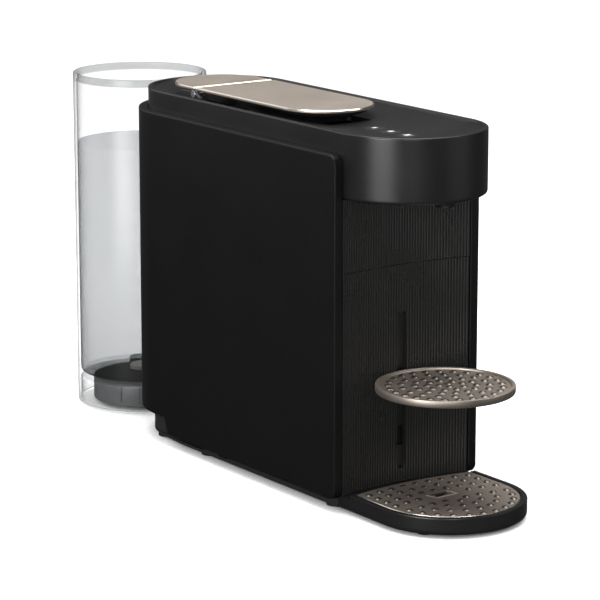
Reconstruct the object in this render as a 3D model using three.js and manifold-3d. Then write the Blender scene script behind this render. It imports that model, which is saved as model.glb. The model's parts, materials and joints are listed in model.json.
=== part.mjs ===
// Pod coffee machine with a swivelling water tank, built as separate pieces.
// Millimetres, +Z up. The machine's front faces -Y. The origin is on the table, under the middle
// of the whole machine. Inside the file y = 0 is the front edge of the side walls.
import * as THREE from "three";
import { mergeVertices } from "three/addons/utils/BufferGeometryUtils.js";
import Module from "manifold-3d";

const wasm = await Module();
wasm.setup();

// ---- driving dimensions -------------------------------------------------------------------

const GAP = 0.4; // between pieces that are fixed or slide together
const SHELL_HALF = 65; // half of the machine's width
const SHELL_WALL = 2.6;
const CORE_HALF = 57.4; // half width of the body inside the side walls
const REAR_Y = 240; // centre of the round rear end, and the tank arm's pivot
const SHELL_BOTTOM = 10;
const SHELL_TOP = 261.5;
const NOTCH_Y = 221; // the shell's rear is raised from here, for the tank arm
const NOTCH_TOP = 22.6;
const RIM_Z = 277; // top rim of the housing
const HEAD_BOTTOM = 229.5;
const HEAD_Y = 1.5; // centre of the round head
const DECK_Z = 270; // flat strip in the middle of the dished deck
const DECK_UNDER = 266;
const STRIP_HALF = 20;

const PLATE_TOP = 280.3; // lever
const PLATE_THICK = 2.4;
const LEVER_HALF = 36.5;
const LEVER_FRONT_Y = 103;
const LEVER_REAR_EDGE = 222;
const COVER_EDGE = 224.6;
const HINGE = { y: 220, z: 276.4 };
const ARM_LENGTH = 40; // hinge pin down to the link pin
const LINK_LENGTH = 60;

const PANEL_RADIUS = 280; // the ribbed front is a shallow hollow
const PANEL_MIDDLE_Y = 6.4;
const PANEL_THICK = 3;
const SEAM_Z = 175.3;
const PANEL_BOTTOM = 12.7;
const CHANNEL_HALF = 4.2;

const TRAY_Y = -48.5; // centre of the tray's round front
const TRAY_TOP = 15.2;
const GRID_TOP = 15;
const GRID_THICK = 2.7;
const BASE_BOTTOM = 2.5;
const BASE_FLOOR = 5;
const BASE_TOP = 9.8;
const GRID_INSET = 4.6;
const GRID_REAR = -3;

const DISC = { y: -45, radius: 50.2, top: 97.2, thick: 5.4 };

const TANK = { y: REAR_Y + 120.4, radius: 54, bottom: 2.5, top: 274, wall: 2.6, floor: 22.3 };
const DOCK_RADIUS = 41;
const HUB_TOP = 21.8;

const BUTTONS = [41, 21.5, 2]; // their places along Y
const BUTTON_RADIUS = 8;
const GLAND = { y: 155.5, z: 7.6 }; // the mains lead's way in, low on the left side

const SIDES = [["left", -1], ["right", 1]];
const POD_AXIS_Z = HINGE.z - ARM_LENGTH;
const SLOT = { half: 20, from: 70, to: 100 }; // where the pod drops in
const FRONT_Y = TRAY_Y - CORE_HALF;
const MIDDLE_Y = (FRONT_Y + TANK.y + TANK.radius) / 2;

// ---- making and joining solids ------------------------------------------------------------

// A closed three.js geometry as a manifold-3d solid with its faces pointing out.
function solid(geometry) {
  const bare = geometry.index ? geometry.toNonIndexed() : geometry.clone();
  for (const name of ["normal", "uv"]) bare.deleteAttribute(name);
  const merged = mergeVertices(bare, 1e-4);
  const index = merged.index.array;
  const corners = [];
  for (let i = 0; i < index.length; i += 3) {
    const [a, b, c] = index.slice(i, i + 3);
    if (a !== b && b !== c && a !== c) corners.push(a, b, c);
  }
  const make = (triVerts) =>
    new wasm.Manifold(
      new wasm.Mesh({
        numProp: 3,
        vertProperties: new Float32Array(merged.attributes.position.array),
        triVerts: new Uint32Array(triVerts),
      }),
    );
  const made = make(corners);
  return made.volume() > 0 ? made : make(corners.reverse());
}

const join = (first, ...others) => others.reduce((all, one) => all.add(one), first);
const cut = (first, ...others) => others.reduce((all, one) => all.subtract(one), first);

function geometryOf(made) {
  const mesh = made.getMesh();
  const geometry = new THREE.BufferGeometry();
  geometry.setAttribute("position", new THREE.BufferAttribute(mesh.vertProperties, 3));
  geometry.setIndex(new THREE.BufferAttribute(mesh.triVerts, 1));
  geometry.computeVertexNormals();
  return geometry;
}

// A box from its low and high sides.
function box(x0, x1, y0, y1, z0, z1) {
  const made = new THREE.BoxGeometry(x1 - x0, y1 - y0, z1 - z0);
  return solid(made.translate((x0 + x1) / 2, (y0 + y1) / 2, (z0 + z1) / 2));
}

// The low and high x of a stretch that lies from..to out from the middle, on one side.
const lane = (side, [from, to]) => (side < 0 ? [-to, -from] : [from, to]);

// An upright rod.
function rod(x, y, radius, z0, z1, sides = 24) {
  const made = new THREE.CylinderGeometry(radius, radius, z1 - z0, sides);
  return solid(made.rotateX(Math.PI / 2).translate(x, y, (z0 + z1) / 2));
}

// A rod along X.
function crossRod(y, z, radius, x0, x1, sides = 16) {
  const made = new THREE.CylinderGeometry(radius, radius, x1 - x0, sides);
  return solid(made.rotateZ(Math.PI / 2).translate((x0 + x1) / 2, y, z));
}

// A rod along Y.
function longRod(x, z, radius, y0, y1, sides = 32) {
  const made = new THREE.CylinderGeometry(radius, radius, y1 - y0, sides);
  return solid(made.translate(x, (y0 + y1) / 2, z));
}

// A plan outline raised from z0 to z1.
function upright(outline, z0, z1, curveSegments = 20) {
  const options = { depth: z1 - z0, bevelEnabled: false, curveSegments };
  return solid(new THREE.ExtrudeGeometry(outline, options).translate(0, 0, z0));
}

// A side outline, drawn in (y, z), spread from x0 to x1.
function sideways(outline, x0, x1, curveSegments = 6) {
  const options = { depth: x1 - x0, bevelEnabled: false, curveSegments };
  const turn = new THREE.Matrix4().makeBasis(
    new THREE.Vector3(0, 1, 0),
    new THREE.Vector3(0, 0, 1),
    new THREE.Vector3(1, 0, 0),
  );
  return solid(new THREE.ExtrudeGeometry(outline, options).applyMatrix4(turn).translate(x0, 0, 0));
}

// Straight sides, a flat end at frontY and a round end about rearY.
function arch(half, frontY, rearY) {
  const outline = new THREE.Shape();
  outline.moveTo(half, frontY);
  outline.lineTo(half, rearY);
  outline.absarc(0, rearY, half, 0, Math.PI, false);
  outline.lineTo(-half, frontY);
  return outline;
}

// Straight sides, a round end about frontY and a flat end at rearY.
function tongue(half, frontY, rearY) {
  const outline = new THREE.Shape();
  outline.moveTo(-half, rearY);
  outline.lineTo(-half, frontY);
  outline.absarc(0, frontY, half, Math.PI, 2 * Math.PI, false);
  outline.lineTo(half, rearY);
  return outline;
}

function polygon(points) {
  return new THREE.Shape(points.map(([a, b]) => new THREE.Vector2(a, b)));
}

// A turned profile of [radius, z] pairs about the upright axis through (0, y).
function turned(profile, y = 0, sides = 48) {
  const points = profile.map(([r, z]) => new THREE.Vector2(r, z));
  return solid(new THREE.LatheGeometry(points, sides).rotateX(Math.PI / 2).translate(0, y, 0));
}

// A turned profile pulled apart along Y: round ends about frontY and rearY, with straight sides.
function stretched(profile, frontY, rearY, sides = 48) {
  const half = Math.PI / sides;
  const points = profile.map(([r, z]) => new THREE.Vector2(r / Math.cos(half), z));
  const made = new THREE.LatheGeometry(points, sides, Math.PI / 2 + half).rotateX(Math.PI / 2);
  const place = made.getAttribute("position");
  const middle = (frontY + rearY) / 2;
  for (let i = 0; i < place.count; i++) {
    const [x, y] = [place.getX(i), place.getY(i)];
    const onAxis = Math.hypot(x, y) < 1e-6;
    place.setXY(i, onAxis ? 0 : x, onAxis ? middle : y + (y > 0 ? rearY : frontY));
  }
  return solid(made);
}

// A round tube along a smooth line through points.
function hose(points, radius, steps = 24) {
  const section = new THREE.Shape().absarc(0, 0, radius, 0, 2 * Math.PI, false);
  const path = new THREE.CatmullRomCurve3(points.map((p) => new THREE.Vector3(...p)));
  const options = { steps, extrudePath: path, curveSegments: 4, bevelEnabled: false };
  return solid(new THREE.ExtrudeGeometry(section, options));
}

// The hollow front panel's outline in plan: an arc at the front and the same arc behind.
function panelOutline(half, thickness) {
  const outline = new THREE.Shape();
  const reach = Math.asin(half / PANEL_RADIUS);
  const centre = PANEL_MIDDLE_Y - PANEL_RADIUS;
  const behind = PANEL_RADIUS + thickness;
  const inner = Math.asin(half / behind);
  outline.absarc(0, centre, PANEL_RADIUS, Math.PI / 2 - reach, Math.PI / 2 + reach, false);
  outline.absarc(0, centre, behind, Math.PI / 2 + inner, Math.PI / 2 - inner, true);
  return outline;
}

// ---- finishes -----------------------------------------------------------------------------

const finish = (color, roughness, metalness = 0, extra = {}) => ({
  color,
  roughness,
  metalness,
  ...extra,
});
const FINISH = {
  satinBlack: finish(0x121213, 0.45),
  mattBlack: finish(0x1b1b1c, 0.6),
  champagne: finish(0xb8afa4, 0.35, 0.9),
  rubber: finish(0x0e0e0e, 0.9),
  clear: finish(0xe8eef0, 0.05, 0, { transparent: true, opacity: 0.3 }),
  greyPlastic: finish(0x55575a, 0.5),
  steel: finish(0xb5b7ba, 0.3, 1),
  aluminium: finish(0x9fa3a7, 0.4, 1),
  naturalPlastic: finish(0xd6d3ca, 0.6),
  board: finish(0x1d5a37, 0.5),
  silicone: finish(0xd9d5cc, 0.5),
  key: finish(0x141415, 0.5),
};

const machine = new THREE.Group();
machine.name = "pod_coffee_machine";
machine.position.y = -MIDDLE_Y;

function group(parent) {
  const made = new THREE.Group();
  parent.add(made);
  return made;
}

function add(parent, name, made, look) {
  const mesh = new THREE.Mesh(geometryOf(made), new THREE.MeshStandardMaterial(FINISH[look]));
  mesh.name = name;
  parent.add(mesh);
  return mesh;
}

// ---- casings ------------------------------------------------------------------------------

// The side outline of the outer shell, with its raised rear.
function shellSide() {
  const corner = 8;
  const outline = new THREE.Shape();
  outline.moveTo(corner, SHELL_BOTTOM);
  outline.lineTo(NOTCH_Y, SHELL_BOTTOM);
  const step = (NOTCH_TOP - SHELL_BOTTOM) / 2;
  outline.bezierCurveTo(
    NOTCH_Y + step / 2, SHELL_BOTTOM, NOTCH_Y + step / 2, NOTCH_TOP, NOTCH_Y + step, NOTCH_TOP,
  );
  outline.lineTo(REAR_Y + SHELL_HALF + 1, NOTCH_TOP);
  outline.lineTo(REAR_Y + SHELL_HALF + 1, SHELL_TOP);
  outline.lineTo(corner, SHELL_TOP);
  outline.absarc(corner, SHELL_TOP - corner, corner, Math.PI / 2, Math.PI, false);
  outline.absarc(corner, SHELL_BOTTOM + corner, corner, Math.PI, 1.5 * Math.PI, false);
  return outline;
}

function outerShell() {
  const lip = 3;
  const inner = SHELL_HALF - SHELL_WALL;
  const skin = upright(arch(SHELL_HALF, 0, REAR_Y), SHELL_BOTTOM, SHELL_TOP, 24);
  const opening = upright(arch(CORE_HALF + GAP, -1, REAR_Y), 0, 300, 24);
  const relief = upright(arch(inner, 2 * lip, REAR_Y), NOTCH_TOP + lip, SHELL_TOP - lip, 24);
  const side = sideways(shellSide(), -SHELL_HALF - 1, SHELL_HALF + 1);
  return cut(skin.intersect(side), opening, relief);
}

// The inner frame: a wall round the back, a raised floor over the tank arm's hub and a bulkhead.
const BULKHEAD_Y = 133;
const HUB_FRONT = 182;
function chassisFrame() {
  const wall = 2.4;
  const floorZ = NOTCH_TOP + GAP;
  const inside = CORE_HALF - wall;
  const top = HEAD_BOTTOM - GAP;
  const tall = cut(
    upright(arch(CORE_HALF, 12, REAR_Y), BASE_TOP + GAP, top, 20),
    upright(arch(inside, 11, REAR_Y), 0, top + 1, 20),
    box(-70, 70, HUB_FRONT, 320, 0, floorZ),
  );
  const floor = upright(arch(inside + 0.5, HUB_FRONT, REAR_Y), floorZ, floorZ + wall, 20);
  const bulkhead = box(-inside - 0.5, inside + 0.5, BULKHEAD_Y, BULKHEAD_Y + wall, 15, 196);
  const shelf = box(-inside - 0.5, inside + 0.5, BULKHEAD_Y, 216, 194, 196.4);
  const passage = rod(0, REAR_Y, 9, floorZ - 1, floorZ + wall + 1);
  const shaft = box(-20, 20, 176, 217, 193, 198);
  return cut(join(tall, floor, bulkhead, shelf), passage, shaft);
}

// The housing over the top: outer skin, rim and dished deck, open below.
function topHousing() {
  const wall = 2.5;
  const soft = 2.2;
  const rim = 3.6;
  const outside = stretched(
    [
      [0, HEAD_BOTTOM],
      [CORE_HALF - soft, HEAD_BOTTOM],
      [CORE_HALF - 0.3 * soft, HEAD_BOTTOM + 0.3 * soft],
      [CORE_HALF, HEAD_BOTTOM + soft],
      [CORE_HALF, RIM_Z - 1],
      [CORE_HALF - 1, RIM_Z],
      [0, RIM_Z],
    ],
    HEAD_Y, REAR_Y, 48,
  );
  const dish = stretched(
    [
      [0, DECK_Z],
      [STRIP_HALF, DECK_Z],
      [(STRIP_HALF + CORE_HALF) / 2, DECK_Z + 2],
      [CORE_HALF - rim - 3, DECK_Z + 4.6],
      [CORE_HALF - rim, RIM_Z - 0.6],
      [CORE_HALF - rim, RIM_Z + 1],
      [0, RIM_Z + 1],
    ],
    HEAD_Y, REAR_Y, 48,
  );
  const below = HEAD_BOTTOM - 1;
  const inside = CORE_HALF - wall;
  const hollow = stretched(
    [[0, below], [inside, below], [inside, DECK_UNDER], [0, DECK_UNDER]], HEAD_Y, REAR_Y, 48,
  );
  const keys = BUTTONS.map((y) => rod(0, y, BUTTON_RADIUS + 0.4, DECK_UNDER - 1, DECK_Z + 1, 20));
  const slot = box(-SLOT.half, SLOT.half, SLOT.from, SLOT.to, DECK_UNDER - 1, DECK_Z + 1);
  const armSlots = [-1, 1].map((side) =>
    box(...lane(side, [25.8, 35.2]), 160, 226, DECK_UNDER - 1, DECK_Z + 6),
  );
  return cut(outside, dish, hollow, ...keys, slot, ...armSlots);
}

// The plate that closes the underside of the head, with a hole for the spout.
const SPOUT_Y = -42;
function headFloor() {
  const inset = CORE_HALF - 2.5 - GAP;
  const plate = upright(tongue(inset, HEAD_Y, 6), HEAD_BOTTOM + 0.5, HEAD_BOTTOM + 3, 24);
  return cut(plate, rod(0, SPOUT_Y, 9.6, HEAD_BOTTOM - 1, HEAD_BOTTOM + 5));
}

function upperFrontPanel() {
  return upright(panelOutline(CORE_HALF, PANEL_THICK), SEAM_Z + GAP / 2, HEAD_BOTTOM - GAP, 24);
}

// The base pan: a floor, side rails for the drawer, a block behind it and the tank arm's pivot.
function basePlate() {
  const rail = 51.5;
  const front = 6.8;
  const block = box(-CORE_HALF, CORE_HALF, BULKHEAD_Y, HUB_FRONT, BASE_FLOOR - 0.5, BASE_TOP);
  const rails = [-1, 1].map((side) =>
    box(...lane(side, [rail, CORE_HALF]), front, BULKHEAD_Y + 1, BASE_FLOOR - 0.5, BASE_TOP),
  );
  const floor = upright(arch(CORE_HALF, front, REAR_Y), BASE_BOTTOM, BASE_FLOOR, 24);
  const pivot = rod(0, REAR_Y, 12, BASE_FLOOR - 0.5, NOTCH_TOP - GAP / 2, 32);
  const waterWay = rod(0, REAR_Y, 6.5, BASE_FLOOR + 2, NOTCH_TOP + 1);
  const recesses = SCREWS.map(([x, y]) => rod(x, y, 3.4, BASE_BOTTOM - 1, BASE_BOTTOM + 1.6, 16));
  const cordSlot = box(-60, -45, GLAND.y - 6, GLAND.y + 6, BASE_FLOOR + 0.2, 12);
  return cut(join(floor, block, ...rails, pivot), waterWay, cordSlot, ...recesses);
}

const SCREWS = [[-42, 150], [42, 150], [-42, 40], [42, 40]];
const FEET = [[-48.5, 21], [48.5, 21], [-48.5, 186], [48.5, 186], [-46, 252], [46, 252]];

const casing = group(machine);
add(casing, "outer_shell", outerShell(), "satinBlack");
add(casing, "chassis_frame", chassisFrame(), "mattBlack");
add(casing, "top_housing", topHousing(), "satinBlack");
add(casing, "head_floor", headFloor(), "mattBlack");
add(casing, "upper_front_panel", upperFrontPanel(), "mattBlack");
add(casing, "base_plate", basePlate(), "mattBlack");
FEET.forEach(([x, y], i) =>
  add(casing, `foot_${i + 1}`, rod(x, y, 7, 0, BASE_BOTTOM - 0.3, 16), "rubber"),
);
SCREWS.forEach(([x, y], i) => {
  const head = cut(rod(x, y, 3, 2.6, 3.8, 16), box(x - 2, x + 2, y - 0.4, y + 0.4, 2, 3.1));
  add(casing, `base_screw_${i + 1}`, head, "steel");
});

// The mains lead enters here; only its gland is part of the machine.
function cordGland() {
  const { y, z } = GLAND;
  const body = join(crossRod(y, z, 1.9, -57, -46, 12), crossRod(y, z, 2.25, -52, -48, 12));
  return cut(body, crossRod(y, z, 1.2, -60, -45, 12));
}

// ---- lever, its hinge and the fixed cover behind it ---------------------------------------

// A plate in the lever's outline, cut to the stretch from y0 to y1.
function leverPlate(inset, z0, z1, edge, y0, y1) {
  const half = LEVER_HALF - inset;
  const whole = stretched(
    [[0, z0], [half - edge, z0], [half, z0 + edge], [half, z1 - edge], [half - edge, z1], [0, z1]],
    LEVER_FRONT_Y, REAR_Y,
  );
  return whole.intersect(box(-60, 60, y0, y1, z0 - 1, z1 + 1));
}

const PLATE_UNDER = PLATE_TOP - PLATE_THICK;
const lever = group(machine);
add(lever, "lever_plate",
  leverPlate(0, PLATE_UNDER, PLATE_TOP, 0.7, 0, LEVER_REAR_EDGE), "champagne");

// The dark hull below the plate, deepest towards the front.
function leverUnderside() {
  const top = PLATE_UNDER - 0.3;
  const hull = stretched(
    [[0, 272], [17, 272], [25, 273.2], [31, 275.4], [33.5, top], [0, top]], LEVER_FRONT_Y, 190,
  );
  const behind = sideways(
    polygon([[140, 271], [205, 275.4], [205, 271]]), -50, 50,
  );
  const knuckle = box(-24, 24, 198, 212, 275.4, top);
  return cut(join(cut(hull.intersect(box(-50, 50, 0, 205, 260, 290)), behind), knuckle));
}
add(lever, "lever_underside", leverUnderside(), "mattBlack");
add(lever, "lever_hinge_pin", crossRod(HINGE.y, HINGE.z, 1.2, -40, 40, 16), "steel");

// An arm on each side runs from the hinge pin down through the deck to the link pin.
const LANES = { arm: [30.3, 33.3], link: [26.8, 29.8], bar: [22.6, 26.2], bracket: [36.9, 40] };

// A flat bar with two eyes, on an (y, z) line from a to b.
function eyeBar(a, b, radius, x0, x1, holes) {
  const along = new THREE.Vector2(b[0] - a[0], b[1] - a[1]).normalize().multiplyScalar(radius * 0.8);
  const web = polygon([
    [a[0] - along.y, a[1] + along.x],
    [a[0] + along.y, a[1] - along.x],
    [b[0] + along.y, b[1] - along.x],
    [b[0] - along.y, b[1] + along.x],
  ]);
  const bar = join(
    sideways(web, x0, x1),
    crossRod(a[0], a[1], radius, x0, x1, 14),
    crossRod(b[0], b[1], radius, x0, x1, 14),
  );
  const bores = holes.map(([y, z, r]) => crossRod(y, z, r, x0 - 1, x1 + 1, 12));
  return cut(bar, ...bores);
}

const armPin = [HINGE.y, POD_AXIS_Z];
const barPin = [HINGE.y - LINK_LENGTH, POD_AXIS_Z];
const EYE = 4;
for (const [name, side] of SIDES) {
  // the upper eye is kept below the plate
  const [x0, x1] = lane(side, LANES.arm);
  const arm = cut(
    eyeBar([HINGE.y, HINGE.z - 1.6], armPin, EYE, x0, x1, [
      [HINGE.y, HINGE.z, 1.5],
      [...armPin, 2.3],
    ]),
    box(-60, 60, 200, 240, PLATE_UNDER - 0.3, 300),
  );
  add(lever, `lever_arm_${name}`, arm, "steel");
}

const links = group(machine);
for (const [name, side] of SIDES) {
  const [x0, x1] = lane(side, LANES.link);
  const pin = crossRod(...armPin, 2, ...lane(side, [LANES.link[0] + 1, LANES.arm[1] + 1]), 16);
  const link = eyeBar(armPin, barPin, EYE, x0, x1, [[...barPin, 2.3]]);
  add(links, `toggle_link_${name}`, join(link, pin), "steel");
}

// The fixed cover behind the hinge, on two posts.
function leverRearCover() {
  const cover = leverPlate(0, PLATE_UNDER, PLATE_TOP, 0.7, COVER_EDGE, 300);
  const posts = [-14, 14].map((x) => rod(x, 250, 5, DECK_Z + 0.3, PLATE_UNDER + 0.5, 20));
  return join(cover, ...posts);
}
add(casing, "lever_rear_cover", leverRearCover(), "champagne");

// A bracket on each side carries the hinge pin's end, just outside the plate.
for (const [name, side] of SIDES) {
  const outline = polygon([[211, 272.6], [245, 272.6], [240, 277.4], [216, 277.4]]);
  const ear = sideways(outline, ...lane(side, LANES.bracket));
  const bracket = cut(ear, crossRod(HINGE.y, HINGE.z, 1.6, -50, 50, 16));
  add(casing, `hinge_bracket_${name}`, bracket, "greyPlastic");
}

// ---- brew unit ----------------------------------------------------------------------------

const FRAME_FLOOR = 209;
const CAGE = { front: 100, rear: 142, radius: 21, pocket: 15.5, depth: 27 };

function brewFrame() {
  const [y0, y1] = [60, 215];
  const [inside, outside] = [35, 38];
  const floor = box(-outside, outside, y0, y1, FRAME_FLOOR, FRAME_FLOOR + 3);
  const sides = [-1, 1].map((side) =>
    box(...lane(side, [inside, outside]), y0, y1, FRAME_FLOOR + 1, 262),
  );
  const windows = box(-50, 50, 150, 200, 222, 250);
  const dropHole = box(-21, 21, y0 + 6, CAGE.front - 1, FRAME_FLOOR - 1, FRAME_FLOOR + 4);
  const hoseHole = rod(0, 194, 6, FRAME_FLOOR - 1, FRAME_FLOOR + 4);
  return cut(join(floor, ...sides), windows, dropHole, hoseHole);
}

// The fixed cage that takes the pod, with the hot water inlet behind it.
function capsuleCage() {
  const body = longRod(0, POD_AXIS_Z, CAGE.radius, CAGE.front, CAGE.rear);
  const pocket = longRod(0, POD_AXIS_Z, CAGE.pocket, CAGE.front - 1, CAGE.front + CAGE.depth);
  const inlet = longRod(0, POD_AXIS_Z, 5, CAGE.rear - 1, CAGE.rear + 8, 20);
  const foot = box(-14, 14, CAGE.front + 4, CAGE.rear - 2, FRAME_FLOOR + 3.3, POD_AXIS_Z - 10);
  return cut(join(body, inlet, foot), pocket);
}

// The moving carriage: a disc that closes the cage, drawn by two side bars.
function extractionPlate() {
  const disc = longRod(0, POD_AXIS_Z, 19.5, 92, CAGE.front - 0.4);
  const yoke = box(-LANES.bar[1], LANES.bar[1], 86, 93, POD_AXIS_Z - 10, POD_AXIS_Z + 10);
  const nozzle = box(-4, 4, 50, 87, POD_AXIS_Z + 5, POD_AXIS_Z + 10);
  const bars = [-1, 1].map((side) =>
    box(...lane(side, LANES.bar), 86, barPin[0] + EYE, POD_AXIS_Z - 4.5, POD_AXIS_Z + 4.5),
  );
  return join(disc, yoke, nozzle, ...bars);
}

const FUNNEL = { y0: 36, y1: 57.8, z0: 232, z1: POD_AXIS_Z + 4.4 };
function coffeeFunnel() {
  const { y0, y1, z0, z1 } = FUNNEL;
  return cut(box(-11, 11, y0, y1, z0, z1), box(-9, 9, y0 + 2, y1 - 2, z0 + 2, z1 + 1));
}

function coffeeSpout() {
  return turned(
    [[3, 225], [7, 225], [8.2, 228], [9.2, 230.6], [9.2, 238], [7, 241], [3, 241], [3, 225]],
    SPOUT_Y, 20,
  );
}

const brewing = group(machine);
add(brewing, "brew_frame", brewFrame(), "greyPlastic");
add(brewing, "capsule_cage", capsuleCage(), "aluminium");
add(brewing, "extraction_plate", extractionPlate(), "steel");
add(brewing, "coffee_funnel", coffeeFunnel(), "naturalPlastic");
add(brewing, "coffee_spout", coffeeSpout(), "satinBlack");
add(brewing, "coffee_duct",
  hose([[0, FUNNEL.y0 - 0.4, 235.6], [0, 20, 236], [0, -10, 236.5], [0, SPOUT_Y + 9.6, 237]], 2.6, 16),
  "silicone");

// ---- pump, heater, boards and hoses --------------------------------------------------------

function thermoblock() {
  const block = box(-24, 24, 142, 172, 60, 168);
  const nipples = [75, 155].map((z) => longRod(12, z, 4, 171, 182, 16));
  const fins = [0, 1, 2, 3, 4].map((i) => box(-26, 26, 145 + i * 6, 147 + i * 6, 66, 162));
  return join(block, ...nipples, ...fins);
}

const PUMP = { x: 0, y: 252, z0: 40, z1: 132 };
function pump() {
  const { y, z0, z1 } = PUMP;
  return turned(
    [[0, z0], [5, z0], [5, z0 + 14], [17, z0 + 14], [17, z0 + 26], [22, z0 + 26], [22, z1 - 30],
      [15, z1 - 30], [15, z1 - 12], [4.5, z1 - 12], [4.5, z1], [0, z1]],
    y, 24,
  );
}

function pumpMount(z) {
  return cut(
    join(rod(0, PUMP.y, 24, z, z + 8, 24), box(-46, 46, PUMP.y - 6, PUMP.y + 6, z, z + 8)),
    rod(0, PUMP.y, z < 100 ? 17.4 : 15.4, z - 1, z + 9, 24),
  );
}

function board(x0, x1, y0, y1, z0, z1, blocks) {
  return join(box(x0, x1, y0, y1, z0, z1), ...blocks.map((b) => box(...b)));
}

const works = group(machine);
add(works, "thermoblock", thermoblock(), "aluminium");
add(works, "pump", pump(), "steel");
add(works, "pump_mount_lower", pumpMount(56), "rubber");
add(works, "pump_mount_upper", pumpMount(107), "rubber");
add(works, "flow_meter",
  join(
    rod(30, 215, 13, 34, 52, 24),
    longRod(30, 43, 3.5, 192, 203, 16),
    longRod(30, 43, 3.5, 227, 236, 16)),
  "naturalPlastic");
add(works, "main_board",
  board(-51, -49.4, 146, 226, 60, 170, [
    [-50, -38, 152, 178, 70, 96],
    [-50, -42, 186, 204, 72, 90],
    [-50, -40, 160, 176, 120, 146],
    [-50, -43, 190, 218, 118, 156],
  ]), "board");
add(works, "control_board",
  board(-17, 17, -10, 52, 257.4, 259, BUTTONS.map((y) => [-4, 4, y - 4, y + 4, 258.5, 261.6])), "board");
add(works, "pivot_seal", cut(rod(0, REAR_Y, 6.1, 16, 27), rod(0, REAR_Y, 3.5, 15, 28)), "rubber");
const HOSES = {
  inlet_tube: [
    [0, 240, 27.6], [0.5, 240, 30.5], [8, 242, 34], [20, 246, 38], [29, 245, 42.6], [30, 241, 43],
    [30, 236.6, 43],
  ],
  suction_tube: [
    [30, 191.4, 43], [30, 187, 42.5], [24, 183, 38], [8, 198, 31], [-7, 220, 29.5], [-8, 234, 29.5],
    [-7, 247, 30], [-1.5, 251.6, 32.5], [0, 252, 36], [0, 252, 39.5],
  ],
  pressure_tube: [
    [0, 252, 132.6], [0, 252, 137], [2, 246, 142], [8, 225, 138], [12, 205, 110], [12, 196, 86],
    [12, 189, 76], [12, 182.8, 75],
  ],
  hot_water_tube: [
    [12, 182.8, 155], [12, 188, 156], [9, 195, 164], [3, 195, 182], [0, 194, 206], [0, 188, 228],
    [0, 176, 236], [0, 158, POD_AXIS_Z], [0, 150.6, POD_AXIS_Z],
  ],
};
for (const [name, route] of Object.entries(HOSES))
  add(works, name, hose(route, 2.6, 18), "silicone");
add(works, "cord_gland", cordGland(), "rubber");

// ---- keys ---------------------------------------------------------------------------------

const keys = group(machine);
BUTTONS.forEach((y, i) => {
  const cap = turned(
    [[0, 264], [9.6, 264], [9.6, 265.4], [BUTTON_RADIUS, 265.4], [BUTTON_RADIUS, 269.9],
      [BUTTON_RADIUS - 0.4, DECK_Z + 0.1], [0, DECK_Z + 0.1]],
    y, 20,
  );
  add(keys, `cup_button_${i + 1}`, cap, "key");
});

// ---- drawer: tray, lower front and used pod container --------------------------------------

function dripTray() {
  const wall = 2.4;
  const ledge = GRID_INSET + 2.4;
  const rearWall = 6.2;
  const body = upright(tongue(CORE_HALF, TRAY_Y, rearWall), BASE_BOTTOM, TRAY_TOP, 22);
  const seat = upright(
    tongue(CORE_HALF - GRID_INSET + GAP, TRAY_Y, GRID_REAR + GAP),
    GRID_TOP - GRID_THICK - GAP, TRAY_TOP + 1, 22,
  );
  const basin = upright(tongue(CORE_HALF - ledge, TRAY_Y, GRID_REAR - wall), BASE_FLOOR, 20, 22);
  const step = box(-70, 70, GRID_REAR + GAP - 0.01, 20, PANEL_BOTTOM - GAP, 20);
  const runner = box(-50.8, 50.8, rearWall - 1, BULKHEAD_Y - 1, BASE_FLOOR + GAP, BASE_TOP - GAP);
  return join(cut(body, seat, basin, step), runner);
}

// The plate that the cup stands on when the stand is low: the drain is a short slot.
function dripGrid() {
  const half = CORE_HALF - GRID_INSET;
  const plate = upright(
    tongue(half, TRAY_Y, GRID_REAR), GRID_TOP - GRID_THICK, GRID_TOP, 22);
  const slot = upright(polygon([[-11.7, -40.3], [-9, -48.7], [9.4, -47.6], [6.6, -39.2]]), 5, 20);
  return cut(plate, slot);
}

function lowerFrontPanel() {
  const half = CORE_HALF - 0.3;
  const back = PANEL_MIDDLE_Y + 5.8;
  const skin = upright(panelOutline(half, PANEL_THICK), PANEL_BOTTOM, SEAM_Z - GAP / 2, 24);
  const spine = box(-CHANNEL_HALF - 3, CHANNEL_HALF + 3, PANEL_MIDDLE_Y + 1.5, back, 15, 150);
  const groove = join(
    box(-CHANNEL_HALF, CHANNEL_HALF, 0, PANEL_MIDDLE_Y + 3.4, 22.5 + CHANNEL_HALF, 140),
    longRod(0, 22.5 + CHANNEL_HALF, CHANNEL_HALF, 0, PANEL_MIDDLE_Y + 3.4, 24),
  );
  const hooks = [39.5, 82.5].map((z) =>
    box(-CHANNEL_HALF + 0.2, CHANNEL_HALF - 0.2, 4, back + 1, z, z + 15),
  );
  return cut(join(skin, spine), groove, ...hooks);
}

function capsuleContainer() {
  const wall = 2;
  const [half, y0, y1, z0, z1] = [50, 14, 128, BASE_TOP + 0.6, 165];
  return cut(
    box(-half, half, y0, y1, z0, z1),
    box(-half + wall, half - wall, y0 + wall, y1 - wall, z0 + wall, z1 + 1),
  );
}

const drawer = group(machine);
add(drawer, "drip_tray", dripTray(), "satinBlack");
add(drawer, "lower_front_panel", lowerFrontPanel(), "mattBlack");
add(drawer, "capsule_container", capsuleContainer(), "greyPlastic");
for (const [name, x] of [["left", -38], ["right", 38]])
  add(drawer, `tray_foot_${name}`, rod(x, -72, 6, 0, BASE_BOTTOM - 0.3, 20), "rubber");
add(group(drawer), "drip_grid", dripGrid(), "champagne");

// ---- cup stand -----------------------------------------------------------------------------

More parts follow.
